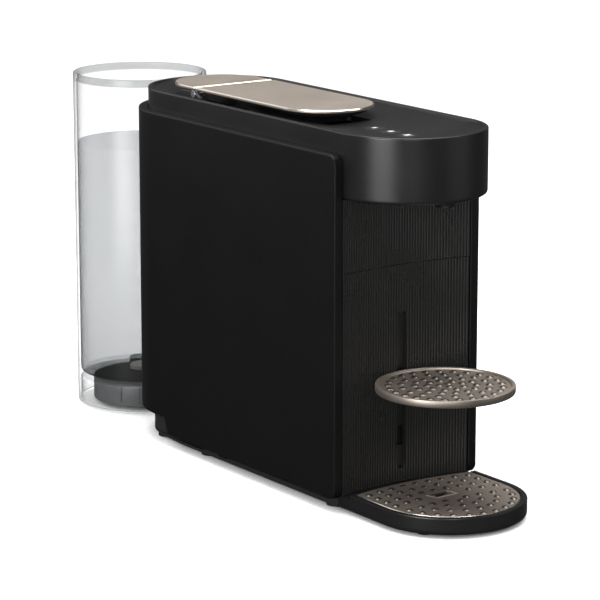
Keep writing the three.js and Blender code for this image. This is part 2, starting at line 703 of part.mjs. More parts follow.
function cupSupport() {
  const { y, radius, top, thick } = DISC;
  const disc = turned(
    [[0, top - thick], [radius - 1.4, top - thick], [radius, top - thick + 1.4], [radius, top - 0.6],
      [radius - 0.6, top], [radius - 3, top], [radius - 4.2, top - 1.4], [0, top - 1.4]],
    y, 48,
  );
  const hook = box(-CHANNEL_HALF + 0.5, CHANNEL_HALF - 0.5, 1, PANEL_MIDDLE_Y + 2.8,
    top - thick - 9, top - thick + 1.5);
  return join(disc, hook.intersect(box(-9, 9, 1, 12, 60, top - 2)));
}
const stand = group(drawer);
add(stand, "cup_support", cupSupport(), "champagne");

// ---- water tank on its swivelling arm --------------------------------------------------------

// The arm: a ring round the pivot, a bar outwards and the dock under the tank.
function tankArm() {
  const under = BASE_FLOOR + GAP;
  const distance = TANK.y - REAR_Y;
  const hub = rod(0, 0, 55, under, HUB_TOP, 40);
  const bar = box(-15, 15, 40, distance - 20, under, HUB_TOP - 1.2);
  const dock = turned(
    [[0, 3], [DOCK_RADIUS, 3], [DOCK_RADIUS, HUB_TOP - 1], [DOCK_RADIUS - 1, HUB_TOP], [0, HUB_TOP]],
    distance, 40,
  );
  const bore = rod(0, 0, 12.4, 0, 30, 32);
  const socket = rod(0, distance, 10, 12, 30);
  return cut(join(hub, bar, dock), bore, socket);
}

function waterTank() {
  const { radius, bottom, top, wall, floor } = TANK;
  const inner = radius - wall;
  const vessel = turned(
    [
      [8, floor], [inner - 0.6, floor], [inner - 0.2, bottom], [radius - 0.6, bottom],
      [radius, bottom + 1.5], [radius, top - 1.4], [radius - 0.8, top - 0.2], [radius - 1.6, top],
      [inner + 0.2, top - 0.8], [inner, top - 2], [inner, floor + 8], [inner - 3, floor + 4.2],
      [8, floor + 4], [8, floor],
    ],
    0, 44,
  );
  return cut(vessel, box(-17, 17, -radius - 2, 0, 0, HUB_TOP - 0.4));
}

const swivel = group(machine);
swivel.position.y = REAR_Y;
add(swivel, "tank_arm", tankArm(), "greyPlastic");
const docked = group(swivel);
docked.position.y = TANK.y - REAR_Y;
add(docked, "dock_seal", cut(rod(0, 0, 9.6, 12.4, 16), rod(0, 0, 5, 11, 17)), "rubber");
add(docked, "dock_foot", rod(0, 12, 8, 0.5, 2.7, 20), "rubber");
add(docked, "water_tank", waterTank(), "clear");
const VALVE = [[0, 18.4], [3.2, 18.4], [3.2, 26.6], [11, 26.8], [11, 30], [4, 32], [0, 32]];
add(docked, "tank_valve", turned(VALVE, 0, 24), "naturalPlastic");

export default machine;
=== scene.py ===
# %% [markdown]
# # A pod coffee machine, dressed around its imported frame
#
# The engineering model already says where every part is and how it moves. This file gives each
# part the surface a buyer would see: smooth walls instead of flat facets, ribs, domes, small
# bevels that catch the light, and a material that behaves like the real one.
#
# Lengths are in millimetres, with X across the machine, Z up, and Y counted backwards from the
# front edge of the side walls. One function turns such a point into the frame's metres.

# %% Load the frame
import json
import math

import bmesh
import bpy
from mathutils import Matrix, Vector


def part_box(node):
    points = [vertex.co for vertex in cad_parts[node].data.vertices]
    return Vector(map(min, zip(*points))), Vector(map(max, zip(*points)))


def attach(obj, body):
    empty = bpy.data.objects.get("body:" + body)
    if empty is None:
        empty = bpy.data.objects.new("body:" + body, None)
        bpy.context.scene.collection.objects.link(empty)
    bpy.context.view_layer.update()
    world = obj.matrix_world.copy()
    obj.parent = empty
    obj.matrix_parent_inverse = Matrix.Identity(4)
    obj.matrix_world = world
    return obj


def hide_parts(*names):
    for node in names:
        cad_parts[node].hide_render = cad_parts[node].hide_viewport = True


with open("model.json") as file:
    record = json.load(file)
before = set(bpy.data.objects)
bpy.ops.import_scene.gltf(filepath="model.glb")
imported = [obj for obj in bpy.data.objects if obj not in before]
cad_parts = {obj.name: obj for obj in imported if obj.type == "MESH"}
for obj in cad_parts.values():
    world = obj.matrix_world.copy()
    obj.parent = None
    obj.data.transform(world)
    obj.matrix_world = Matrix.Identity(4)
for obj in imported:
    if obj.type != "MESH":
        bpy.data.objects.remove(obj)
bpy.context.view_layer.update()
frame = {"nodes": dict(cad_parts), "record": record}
scene = bpy.context.scene

# %% [markdown]
# The camera comes first. A long lens from far away keeps the machine's upright edges almost
# parallel, as a catalogue picture has them. It looks along the machine's left side, turned 35
# degrees from straight ahead and tipped down by 13 degrees.

# %% Camera
AIM = Vector((-0.038, -0.0733, 0.14))
DISTANCE = 2.1364
TURN = math.radians(35.1526)
TIP = math.radians(12.6836)
SENSOR = 36
LENS = 174.14

camera = bpy.data.objects.new("camera", bpy.data.cameras.new("camera"))
scene.collection.objects.link(camera)
scene.camera = camera
camera.data.sensor_width = SENSOR
camera.data.lens = LENS
ahead = Vector((
    math.sin(TURN) * math.cos(TIP),
    math.cos(TURN) * math.cos(TIP),
    -math.sin(TIP),
))
camera.location = AIM - DISTANCE * ahead
camera.rotation_euler = (math.pi / 2 - TIP, 0, -TURN)
print("camera stands at", [round(v, 3) for v in camera.location])

# %% [markdown]
# Every size below is read from the frame, so that a piece can't drift away from the part that it
# stands for. `span` gives a node's low and high sides in millimetres.

# %% Sizes from the frame
MM = 0.001
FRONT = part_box("outer_shell")[0].y


def to_frame(point):
    """A point in millimetres from the side walls' front edge, in the frame's metres."""
    x, y, z = point
    return (x * MM, FRONT + y * MM, z * MM)


def span(node):
    """The (low, high) pairs of a CAD node along X, Y and Z, in millimetres."""
    low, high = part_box(node)
    return (
        (low.x / MM, high.x / MM),
        ((low.y - FRONT) / MM, (high.y - FRONT) / MM),
        (low.z / MM, high.z / MM),
    )


SHELL_HALF = span("outer_shell")[0][1]
SHELL_BOTTOM, SHELL_TOP = span("outer_shell")[2]
REAR_Y = span("outer_shell")[1][1] - SHELL_HALF
CORE_HALF = span("top_housing")[0][1]
HEAD_BOTTOM, RIM_Z = span("top_housing")[2]
HEAD_Y = span("top_housing")[1][0] + CORE_HALF
print(f"width {2 * SHELL_HALF:.1f}, rim at {RIM_Z:.1f}, round rear about y {REAR_Y:.1f}")

# %% [markdown]
# A machine like this is mostly *skins over rings*: a closed outline in plan, repeated at several
# heights and a little larger or smaller each time. `skin` joins such rings with four-sided faces,
# and `make_piece` turns the result into an object whose normals point outwards and whose shading
# breaks only at real edges.

# %% Helpers for meshes
def skin(rings, closed=False):
    """Points and faces over a row of rings with equal counts; the ends are capped unless closed."""
    count = len(rings[0])
    points = [point for ring in rings for point in ring]
    faces = []
    for r in range(len(rings) if closed else len(rings) - 1):
        a = r * count
        b = (r + 1) % len(rings) * count
        for i in range(count):
            j = (i + 1) % count
            faces.append((a + i, a + j, b + j, b + i))
    if not closed:
        last = (len(rings) - 1) * count
        faces.append(tuple(range(count)))
        faces.append(tuple(range(last, last + count)))
    return points, faces


def make_piece(name, parts, material, crease=32):
    """An object at the origin from (points, faces) parts in millimetres."""
    shape = bmesh.new()
    for points, faces in parts:
        corners = [shape.verts.new(to_frame(point)) for point in points]
        for face in faces:
            shape.faces.new([corners[i] for i in face])
    bmesh.ops.remove_doubles(shape, verts=shape.verts, dist=1e-7)
    bmesh.ops.recalc_face_normals(shape, faces=shape.faces)
    mesh = bpy.data.meshes.new(name)
    shape.to_mesh(mesh)
    shape.free()
    mesh.materials.append(material)
    made = bpy.data.objects.new(name, mesh)
    scene.collection.objects.link(made)
    shade(made, crease)
    return made


def shade(piece, crease=32):
    """Smooth shading that breaks where faces meet at more than crease degrees."""
    piece.data.shade_smooth()
    piece.data.set_sharp_from_angle(angle=math.radians(crease))


# %% [markdown]
# Two outlines come back all over this machine: the *stadium*, round at both ends, and the
# *tongue*, round in front and straight behind. Round things are turned from a profile, as on a
# lathe, and boxes get a small bevel, because a moulded edge is never quite sharp.

# %% Outlines and turned shapes
def stadium(half, front, rear, z, steps=32):
    """A ring with round ends about (0, front) and (0, rear)."""
    ring = []
    for centre, start in ((rear, 0), (front, math.pi)):
        for i in range(steps + 1):
            turn = start + math.pi * i / steps
            ring.append((half * math.cos(turn), centre + half * math.sin(turn), z))
    return ring


def tongue(half, front, rear, z, bow=0, steps=40):
    """A ring with a round front about (0, front) and a rear edge that bows forwards at its ends."""
    ring = []
    for i in range(13):
        x = half * (1 - i / 6)
        ring.append((x, rear - bow * (x / half) ** 2, z))
    for i in range(steps + 1):
        turn = math.pi + math.pi * i / steps
        ring.append((half * math.cos(turn), front + half * math.sin(turn), z))
    return ring


def upright_at(x, y):
    """Places a turned shape on an upright axis through (x, y)."""
    return lambda a, b, along: (x + a, y + b, along)


def crosswise_at(y, z):
    """Places a turned shape on an axis along X through (y, z)."""
    return lambda a, b, along: (along, y + a, z + b)


def turned(profile, place, steps=64, closed=False):
    """A turned shape from (radius, distance along) pairs; closed joins the last pair to the first."""
    rings = []
    for radius, along in profile:
        angles = [2 * math.pi * i / steps for i in range(steps)]
        rings.append([place(radius * math.cos(t), radius * math.sin(t), along) for t in angles])
    return skin(rings, closed)


def corner(centre, radius, start, end, steps=4):
    """Points of a quarter turn or less about a centre, in degrees, for rounding a profile."""
    angles = [math.radians(start + (end - start) * i / steps) for i in range(steps + 1)]
    return [(centre[0] + radius * math.cos(t), centre[1] + radius * math.sin(t)) for t in angles]


def block(x, y, z, bevel=0.4):
    """A box from (low, high) pairs with its edges cut back, as an eight-sided stack of rings."""
    def outline(inset, height):
        cut = max(bevel - inset, 0.01)
        (x0, x1), (y0, y1) = (x[0] + inset, x[1] - inset), (y[0] + inset, y[1] - inset)
        return [
            (x0 + cut, y0, height), (x1 - cut, y0, height), (x1, y0 + cut, height),
            (x1, y1 - cut, height), (x1 - cut, y1, height), (x0 + cut, y1, height),
            (x0, y1 - cut, height), (x0, y0 + cut, height),
        ]
    rings = [outline(bevel, z[0]), outline(0, z[0] + bevel), outline(0, z[1] - bevel)]
    return skin(rings + [outline(bevel, z[1])])


# %% [markdown]
# Holes and slots are cut with boolean modifiers, and the modifiers are then turned into plain
# mesh. Modelling each hole's edges by hand would give tidier faces, but these surfaces are flat
# or gently curved where they are cut, so nothing shows.

# %% Cutting and joining
def combine(piece, operation, *others):
    """Cuts or joins the other objects into a piece, and removes them."""
    for other in others:
        modifier = piece.modifiers.new("combine", "BOOLEAN")
        modifier.operation = operation
        modifier.object = other
        modifier.solver = "EXACT"
    made = settled(piece)
    for other in others:
        bpy.data.objects.remove(other)
    shade(made)
    return made


def settled(piece):
    """Turns a piece's modifiers into plain mesh and takes the modifiers off."""
    graph = bpy.context.evaluated_depsgraph_get()
    mesh = bpy.data.meshes.new_from_object(piece.evaluated_get(graph))
    piece.modifiers.clear()
    piece.data = mesh
    return piece


# %% [markdown]
# Materials are built from nodes. `add_node` is the only helper: it adds one node, sets its own
# fields, and fills its sockets with values or with links from other nodes. Colours are written
# as a painter would note them, in sRGB hex, and `linear` turns them into the numbers that the
# renderer adds up.

# %% Helpers for materials
def linear(colour):
    """An sRGB hex colour as linear RGBA."""
    parts = [int(colour[i:i + 2], 16) / 255 for i in (1, 3, 5)]
    return [c / 12.92 if c <= 0.04045 else ((c + 0.055) / 1.055) ** 2.4 for c in parts] + [1]


def add_node(tree, kind, sockets=None, **settings):
    """Adds a node: settings are its fields, sockets its inputs, each a value or another's output."""
    made = tree.nodes.new(kind)
    for name, value in settings.items():
        setattr(made, name, value)
    for key, value in (sockets or {}).items():
        if isinstance(value, bpy.types.NodeSocket):
            tree.links.new(value, made.inputs[key])
        else:
            made.inputs[key].default_value = value
    return made


def new_material(name):
    """An empty node material; returns it with its node tree."""
    made = bpy.data.materials.new(name)
    made.use_nodes = True
    made.node_tree.nodes.clear()
    return made, made.node_tree


def per_metre(size):
    """The noise scale that gives features of this size in millimetres."""
    return 1 / (size * MM)


# %% [markdown]
# **Moulded plastic.** The casing is ABS from a mould that was spark eroded, so it has a fine
# grain that spreads each highlight into a soft satin glow. The grain is about 0.1 mm on the real
# thing. It is drawn at 0.7 mm, because anything finer vanishes at arm's length. A second, much
# larger noise shifts the roughness a little, as flow lines and handling do.

# %% Moulded plastics
def moulded_plastic(name, colour, roughness, grain=0.7, depth=0.02, ior=1.5):
    """Moulded plastic with a fine eroded grain of the given size and depth in millimetres."""
    made, tree = new_material(name)
    spot = add_node(tree, "ShaderNodeTexCoord").outputs["Object"]
    fine = add_node(tree, "ShaderNodeTexNoise",
                    {"Vector": spot, "Scale": per_metre(grain), "Detail": 3, "Roughness": 0.6})
    broad = add_node(tree, "ShaderNodeTexNoise",
                     {"Vector": spot, "Scale": per_metre(38), "Detail": 2})
    sheen = add_node(tree, "ShaderNodeMapRange",
                     {"Value": broad.outputs["Fac"], "From Min": 0.3, "From Max": 0.7,
                      "To Min": roughness - 0.03, "To Max": roughness + 0.03})
    tone = add_node(tree, "ShaderNodeMapRange",
                    {"Value": fine.outputs["Fac"], "From Min": 0.35, "From Max": 0.65,
                     "To Min": 0.9, "To Max": 1.1})
    tint = add_node(tree, "ShaderNodeVectorMath",
                    {0: linear(colour)[:3], "Scale": tone.outputs["Result"]}, operation="SCALE")
    relief = add_node(tree, "ShaderNodeBump",
                      {"Height": fine.outputs["Fac"], "Strength": 0.35, "Distance": depth * MM})
    shader = add_node(tree, "ShaderNodeBsdfPrincipled",
                      {"Base Color": tint.outputs["Vector"], "Roughness": sheen.outputs["Result"],
                       "IOR": ior, "Normal": relief.outputs["Normal"]})
    add_node(tree, "ShaderNodeOutputMaterial", {"Surface": shader.outputs["BSDF"]})
    return made


shell_abs = moulded_plastic("satin_black_abs_shell", "#0A0A0B", 0.40, ior=1.3)
head_abs = moulded_plastic("satin_black_abs_head", "#0F0F10", 0.33, ior=1.55)
rib_abs = moulded_plastic("ribbed_black_abs", "#181817", 0.29, grain=0.9, depth=0.002)
inner_abs = moulded_plastic("plain_black_moulding", "#19191A", 0.55)
tray_abs = moulded_plastic("satin_black_tray", "#121213", 0.33)
key_abs = moulded_plastic("satin_black_key", "#1D1D1E", 0.42)
grey_abs = moulded_plastic("dark_grey_moulding", "#525355", 0.45)
acetal = moulded_plastic("natural_acetal", "#D6D3CA", 0.45, depth=0.01)
rubber = moulded_plastic("matt_rubber", "#121212", 0.85, grain=0.4, depth=0.03)
print("plastics:", len(bpy.data.materials))

# %% [markdown]
# ** Champagne metal.** The lever, the cup stand and the grid are aluminium, blasted and anodised
# in a warm grey. Blasting leaves tiny craters, so the surface glows rather than mirrors. Where
# the edge was cut afterwards with a diamond tool it is bright and smooth. The domes are pressed
# up and rubbed smooth by cups, so each has a small highlight. Their dark flanks are painted shade:
# the domes get a darker copy of the same metal. So there are three materials: the blasted face,
# the cut edge and the dome in painted shade. The zinc-plated and cast metals inside come from the
# same function, with a coarser grain.

# %% Champagne metals
def anodised(name, colour, roughness, grain, depth):
    """Anodised aluminium with a blasted grain of the given size and depth in millimetres."""
    made, tree = new_material(name)
    spot = add_node(tree, "ShaderNodeTexCoord").outputs["Object"]
    craters = add_node(tree, "ShaderNodeTexNoise",
                       {"Vector": spot, "Scale": per_metre(grain), "Detail": 4, "Roughness": 0.7})
    clouds = add_node(tree, "ShaderNodeTexNoise",
                      {"Vector": spot, "Scale": per_metre(25), "Detail": 2})
    polish = add_node(tree, "ShaderNodeMapRange",
                      {"Value": clouds.outputs["Fac"], "From Min": 0.3, "From Max": 0.7,
                       "To Min": roughness - 0.03, "To Max": roughness + 0.03})
    tone = add_node(tree, "ShaderNodeMapRange",
                    {"Value": craters.outputs["Fac"], "From Min": 0.3, "From Max": 0.7,
                     "To Min": 0.94, "To Max": 1.04})
    tint = add_node(tree, "ShaderNodeVectorMath",
                    {0: linear(colour)[:3], "Scale": tone.outputs["Result"]}, operation="SCALE")
    relief = add_node(tree, "ShaderNodeBump",
                      {"Height": craters.outputs["Fac"], "Strength": 0.3, "Distance": depth * MM})
    shader = add_node(tree, "ShaderNodeBsdfPrincipled",
                      {"Base Color": tint.outputs["Vector"], "Metallic": 1.0,
                       "Roughness": polish.outputs["Result"],
                       "Normal": relief.outputs["Normal"]})
    add_node(tree, "ShaderNodeOutputMaterial", {"Surface": shader.outputs["BSDF"]})
    return made


champagne = anodised("champagne_blasted_aluminium", "#BDB2A7", 0.47, 0.5, 0.010)
champagne_edge = anodised("champagne_cut_edge", "#EFE6DB", 0.25, 0.5, 0.003)
# the same metal made darker: painted shade on the domes' flanks
dome_painted_shade = anodised("champagne_painted_shade_dome", "#857C74", 0.36, 0.5, 0.004)
steel = anodised("zinc_plated_steel", "#B9BBBD", 0.34, 1.2, 0.01)
cast_aluminium = anodised("cast_aluminium", "#A6A8AA", 0.55, 1.5, 0.12)
print("with metals:", len(bpy.data.materials))

# %% [markdown]
# ** Clear plastic and water.** The tank is clear copolyester, moulded thin. Its wall bends light
# very little: the eye sees straight through, with a grey tint where the plastic is thick and a
# gleam where the wall turns away. So each skin mixes a tinted transparent shader with a gloss,
# and the mix follows the slant of the surface. Glass with real refraction is the other way, but a
# full round jug then bends the dock behind its wall out of sight. Water is a body of its own with
# a greyer tint. In every skin the tint shifts with height as painted shade, and the water's deepens
# towards its foot.

# %% Clear plastic, water, silicone
# heights over which each clear skin's tint shifts: painted shade by height
PAINTED_SHADE_FROM, PAINTED_SHADE_TO = 30, 210


def clear(name, high, low, mirror):
    """A thin clear skin: light goes straight through, tinted from high to low by height as painted shade,
    or mirrors off.
    """
    made, tree = new_material(name)
    spot = add_node(tree, "ShaderNodeTexCoord").outputs["Object"]
    level = add_node(tree, "ShaderNodeSeparateXYZ", {0: spot})
    share = add_node(tree, "ShaderNodeMapRange",
                     {"Value": level.outputs["Z"], "From Min": PAINTED_SHADE_FROM * MM,
                      "From Max": PAINTED_SHADE_TO * MM})
    tint = add_node(tree, "ShaderNodeMix",
                    {"Factor": share.outputs["Result"], "A": linear(low), "B": linear(high)},
                    data_type="RGBA")
    haze = add_node(tree, "ShaderNodeTexNoise",
                    {"Vector": spot, "Scale": per_metre(30), "Detail": 2})
    relief = add_node(tree, "ShaderNodeBump",
                      {"Height": haze.outputs["Fac"], "Strength": 0.05, "Distance": 0.1 * MM})
    through = add_node(tree, "ShaderNodeBsdfTransparent", {"Color": tint.outputs["Result"]})
    gloss = add_node(tree, "ShaderNodeBsdfGlossy",
                     {"Roughness": 0.3, "Normal": relief.outputs["Normal"]})
    slant = add_node(tree, "ShaderNodeLayerWeight",
                     {"Blend": 0.5, "Normal": relief.outputs["Normal"]})
    steep = add_node(tree, "ShaderNodeMath", {0: slant.outputs["Facing"], 1: 5.0},
                     operation="POWER")
    part = add_node(tree, "ShaderNodeMath", {0: steep.outputs[0], 1: mirror, 2: 0.04 * mirror},
                    operation="MULTIPLY_ADD")
    shader = add_node(tree, "ShaderNodeMixShader",
                      {0: part.outputs[0], 1: through.outputs[0], 2: gloss.outputs[0]})
    add_node(tree, "ShaderNodeOutputMaterial", {"Surface": shader.outputs[0]})
    return made


copolyester = clear("clear_copolyester", "#FDFDFD", "#FBFBFB", 0.96)
thick_copolyester = clear("clear_copolyester_thick", "#DDDEDE", "#EEEFEF", 0.96)
# greyer towards its foot: painted shade
water = clear("still_water", "#D9DADB", "#C9CACB", 0.15)
silicone = moulded_plastic("translucent_silicone", "#D9D5CC", 0.5, grain=1.5, depth=0.01)
print("with clear skins:", len(bpy.data.materials))

# %% [markdown]
# **The rest.** A circuit board is glass cloth under green lacquer, with lighter lines where copper
# tracks lie beneath. The cup signs are pad printed, a thin white ink that looks light grey on
# black. Then every CAD node gets the finish that its slot in the record names.

# %% Circuit board and print
def solder_mask(name):
    """Green lacquer over copper tracks, with a track every 2.5 mm."""
    made, tree = new_material(name)
    spot = add_node(tree, "ShaderNodeTexCoord").outputs["Object"]
    tracks = add_node(tree, "ShaderNodeTexBrick",
                      {"Vector": spot, "Scale": per_metre(5), "Mortar Size": 0.06,
                       "Color1": linear("#1C5A37"), "Color2": linear("#1A5233"),
                       "Mortar": linear("#3B8156")})
    shader = add_node(tree, "ShaderNodeBsdfPrincipled",
                      {"Base Color": tracks.outputs["Color"], "Roughness": 0.35})
    add_node(tree, "ShaderNodeOutputMaterial", {"Surface": shader.outputs["BSDF"]})
    return made


circuit_board = solder_mask("green_solder_mask")
white_print = moulded_plastic("white_pad_print", "#B4B4B2", 0.5, grain=0.6, depth=0.002)
FINISH = {
    "body_black": shell_abs, "ribbed_black": rib_abs, "inner_black": inner_abs,
    "champagne_metal": champagne, "rubber_black": rubber, "tank_clear": copolyester,
    "arm_grey": grey_abs, "steel": steel, "cast_aluminium": cast_aluminium,
    "natural_plastic": acetal, "silicone": silicone, "circuit_board": circuit_board,
    "key_black": key_abs,
}
for part in frame["record"]["subparts"]:
    node = frame["nodes"][part["node"]]
    node.data.materials.clear()
    node.data.materials.append(FINISH[part["material_slot"]])
print("finished", len(frame["nodes"]), "CAD nodes")

# %% [markdown]
# **The side walls** are one moulding: a tall U in plan that wraps round the back. Its section is
# a thin upright bar with a 1 mm rounded edge all round. Pulling that section along the U gives
# the whole shell, and three rules change it on the way: the front corners are rounded, the front
# end is closed with the same soft edge, and the bottom steps up at the rear to let the tank's
# arm swing through.

# %% Side walls
EDGE = 1.0
LIP = 3.0
WALL = 2.6
FRONT_CORNER = 8.0
OPENING = CORE_HALF + 0.4
NOTCH_FROM = 221.0
NOTCH_RUN = 6.3
NOTCH_TOP = 22.6
SOLID_TO = 6.0
BEND_STEPS = 48


def step_up(y):
    """The shell's bottom edge at y: level, then an S up to the notch."""
    share = min(max((y - NOTCH_FROM) / NOTCH_RUN, 0), 1)
    return SHELL_BOTTOM + (NOTCH_TOP - SHELL_BOTTOM) * share * share * (3 - 2 * share)


def wall_section(distance, bottom, relief):
    """(inset, z) pairs round the wall's section, at this distance from its front end."""
    round_off = FRONT_CORNER - distance
    drop = FRONT_CORNER - math.sqrt(FRONT_CORNER**2 - round_off**2) if round_off > 0 else 0
    soft = EDGE - math.sqrt(EDGE**2 - (EDGE - distance) ** 2) if distance < EDGE else 0
    width = SHELL_HALF - OPENING
    thin = WALL if relief else width
    low, high = bottom + drop, SHELL_TOP - drop
    loop = corner((EDGE, low + EDGE), EDGE, 270, 180, 3)
    loop += [(0, low + 2 * EDGE), (0, high - 2 * EDGE)]
    loop += corner((EDGE, high - EDGE), EDGE, 180, 90, 3)
    loop += [(width - 0.4, high), (width, high - 0.4)]
    loop += [(width, high - LIP), (thin, high - LIP - 0.01)]
    loop += [(thin, low + LIP + 0.01), (width, low + LIP)]
    loop += [(width, low + 0.4), (width - 0.4, low)]
    middle = (low + high) / 2
    tall = (high - low - 2 * soft) / (high - low)
    return [
        (soft + inset * (width - 2 * soft) / width, middle + (z - middle) * tall)
        for inset, z in loop
    ]


def wall_ring(y, distance, relief):
    """The section as a ring on the left straight, at y."""
    return [(inset - SHELL_HALF, y, z) for inset, z in wall_section(distance, step_up(y), relief)]


near_end = [0, 0.12, 0.35, 0.65, 1.0, 1.6, 2.5, 3.6, 5.0, SOLID_TO - 0.01]
straight = [SOLID_TO + 0.01, FRONT_CORNER]
straight += [FRONT_CORNER + i * (NOTCH_FROM - FRONT_CORNER) / 8 for i in range(1, 9)]
straight += [NOTCH_FROM + NOTCH_RUN * i / 10 for i in range(1, 11)] + [REAR_Y]
left = [wall_ring(y, y, False) for y in near_end] + [wall_ring(y, y, True) for y in straight]
bend = []
for i in range(1, BEND_STEPS):
    turn = math.pi - math.pi * i / BEND_STEPS
    section = wall_section(REAR_Y, NOTCH_TOP, True)
    bend.append([
        ((SHELL_HALF - inset) * math.cos(turn), REAR_Y + (SHELL_HALF - inset) * math.sin(turn), z)
        for inset, z in section
    ])
right = [[(-x, y, z) for x, y, z in ring] for ring in reversed(left)]
side_walls = make_piece("side_walls", [skin(left + bend + right)], shell_abs)
print("side walls:", len(side_walls.data.polygons), "faces")
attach(side_walls, "chassis")
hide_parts("outer_shell")

# %% [markdown]
# **The housing** closes the top. Seen from above it is a stadium: straight sides with a half
# circle at each end. Its deck is a shallow dish with a flat strip down the middle for the keys,
# and a thin rim stands round it. One profile, from the strip out over the rim and back up the
# inside, is repeated round the stadium. The key holes, the pod slot and the two slots for the
# lever's arms are then cut through the deck.

# %% Housing
DECK_Z = 270.0
DECK_UNDER = 266.0
STRIP_HALF = 20.0
RIM_WIDTH = 3.2
SKIN = 2.5
KEY_Y = [sum(span(f"cup_button_{i}")[1]) / 2 for i in (1, 2, 3)]
KEY_HALF = 8.0
KEY_GAP = 0.12
DISH_RISE = 5.2
POD_SLOT = ((-20, 20), (70, 100))
ARM_SLOT = ((25.8, 35.2), (160, 226))
BELOW_DECK = 260

dish_edge = CORE_HALF - RIM_WIDTH
profile = [(STRIP_HALF, DECK_Z)]
for i in range(1, 13):
    share = i / 12
    half = STRIP_HALF + (dish_edge - 1.2 - STRIP_HALF) * share
    profile.append((half, DECK_Z + DISH_RISE * share**1.7))
profile += [(dish_edge - 0.4, RIM_Z - 1.1), (dish_edge, RIM_Z - 0.35), (dish_edge + 0.4, RIM_Z)]
profile += corner((CORE_HALF - 0.9, RIM_Z - 0.9), 0.9, 90, 0)
profile += [(CORE_HALF, RIM_Z - 1.6), (CORE_HALF, HEAD_BOTTOM + 3.2)]
profile += corner((CORE_HALF - 2.2, HEAD_BOTTOM + 2.2), 2.2, 0, -90, 6)
profile += [(CORE_HALF - SKIN, HEAD_BOTTOM + 0.3), (CORE_HALF - SKIN, DECK_UNDER)]
profile += [(STRIP_HALF, DECK_UNDER)]
rings = [stadium(half, HEAD_Y, REAR_Y, z, 48) for half, z in profile]
housing = make_piece("housing", [skin(rings)], head_abs)
cutters = [
    make_piece(f"key_hole_{i}", [
        turned([(KEY_HALF + KEY_GAP, BELOW_DECK), (KEY_HALF + KEY_GAP, 275)], upright_at(0, y)),
    ], inner_abs)
    for i, y in enumerate(KEY_Y)
]
cutters.append(make_piece("pod_slot", [block(*POD_SLOT, (BELOW_DECK, 275), 3)], inner_abs))
for name, side in (("left", -1), ("right", 1)):
    across = sorted(side * x for x in ARM_SLOT[0])
    slot = block(across, ARM_SLOT[1], (BELOW_DECK, 280), 1)
    cutters.append(make_piece(f"arm_slot_{name}", [slot], inner_abs))
housing = combine(housing, "DIFFERENCE", *cutters)
print("housing:", len(housing.data.polygons), "faces")
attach(housing, "chassis")
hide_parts("top_housing")

# %% [markdown]
# **The lever** is a stamped plate on a dark hull. Its outline is a tongue, round at the front and
# straight at the hinge. The top edge is a diamond-cut chamfer, a separate bright finish, so the
# faces of that ring get the second material. A fixed cover of the same finish carries on behind
# the hinge, so that the two read as one long plate with a seam.

# %% Lever
PLATE_LOW, PLATE_HIGH = span("lever_plate")[2]
LEVER_HALF = span("lever_plate")[0][1]
LEVER_NOSE = span("lever_plate")[1][0] + LEVER_HALF
LEVER_REAR = span("lever_plate")[1][1]
COVER_FROM = span("lever_rear_cover")[1][0]
CHAMFER = 0.8


def plate_steps(low, high):
    """(inset, z) pairs from the underside up over the cut edge."""
    return [(0.5, low), (0, low + 0.5), (0, high - CHAMFER), (CHAMFER, high)]


def cut_edge(piece, material, low, high):
    """Gives the sloping faces between two heights (mm) a second material."""
    piece.data.materials.append(material)
    for face in piece.data.polygons:
        if low * MM < face.center.z < high * MM and 0.2 < face.normal.z < 0.95:
            face.material_index = 1


rings = [
    tongue(LEVER_HALF - inset, LEVER_NOSE, LEVER_REAR - inset, z, steps=72)
    for inset, z in plate_steps(PLATE_LOW, PLATE_HIGH)
]
lever_top = make_piece("lever_top", [skin(rings)], champagne, crease=25)
cut_edge(lever_top, champagne_edge, PLATE_HIGH - CHAMFER, PLATE_HIGH)
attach(lever_top, "lever")
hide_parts("lever_plate")
print("lever plate:", len(lever_top.data.polygons), "faces")


# %% Lever cover
COVER_POSTS = [(-14, 250), (14, 250)]


def turned_about(ring, y):
    """The same ring with front and back changed over, about y."""
    return [(-x, 2 * y - at, z) for x, at, z in ring]


rings = [
    turned_about(tongue(LEVER_HALF - inset, REAR_Y, 2 * REAR_Y - COVER_FROM - inset, z, steps=72),
                 REAR_Y)
    for inset, z in plate_steps(PLATE_LOW, PLATE_HIGH)
]
posts = [turned([(5, DECK_Z + 0.3), (5, PLATE_LOW + 0.2)], upright_at(x, y), 24)
         for x, y in COVER_POSTS]
lever_cover = make_piece("lever_cover", [skin(rings)] + posts, champagne, crease=25)
cut_edge(lever_cover, champagne_edge, PLATE_HIGH - CHAMFER, PLATE_HIGH)
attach(lever_cover, "chassis")
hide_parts("lever_rear_cover")
print("lever cover:", len(lever_cover.data.polygons), "faces")

# %% [markdown]
# Under the plate hangs a dark hull like a boat's, deepest near the front where fingers lift it.
# It is a row of tongues that shrink as they go down, raised towards the hinge. A block behind it
# carries the hinge pin.

# %% Lever hull
HULL_LOW, HULL_HIGH = span("lever_underside")[2]
HULL_HALF = span("lever_underside")[0][1]
HULL_REAR = 205.0
HULL_RISES = 140.0
HULL_TAPER = 15.0


def hull_ring(share):
    """A ring of the hull: share 0 is its rim, 1 its keel."""
    half = HULL_HALF - HULL_TAPER * share**1.6
    deep = HULL_HIGH - (HULL_HIGH - HULL_LOW) * share**0.8
    ring = []
    for x, y, _ in tongue(half, LEVER_NOSE, HULL_REAR, 0, steps=48):
        rise = min(max((y - HULL_RISES) / (HULL_REAR - HULL_RISES), 0), 1)
        ring.append((x, y, max(deep, HULL_LOW + (HULL_HIGH - 1.0 - HULL_LOW) * rise)))
    return ring


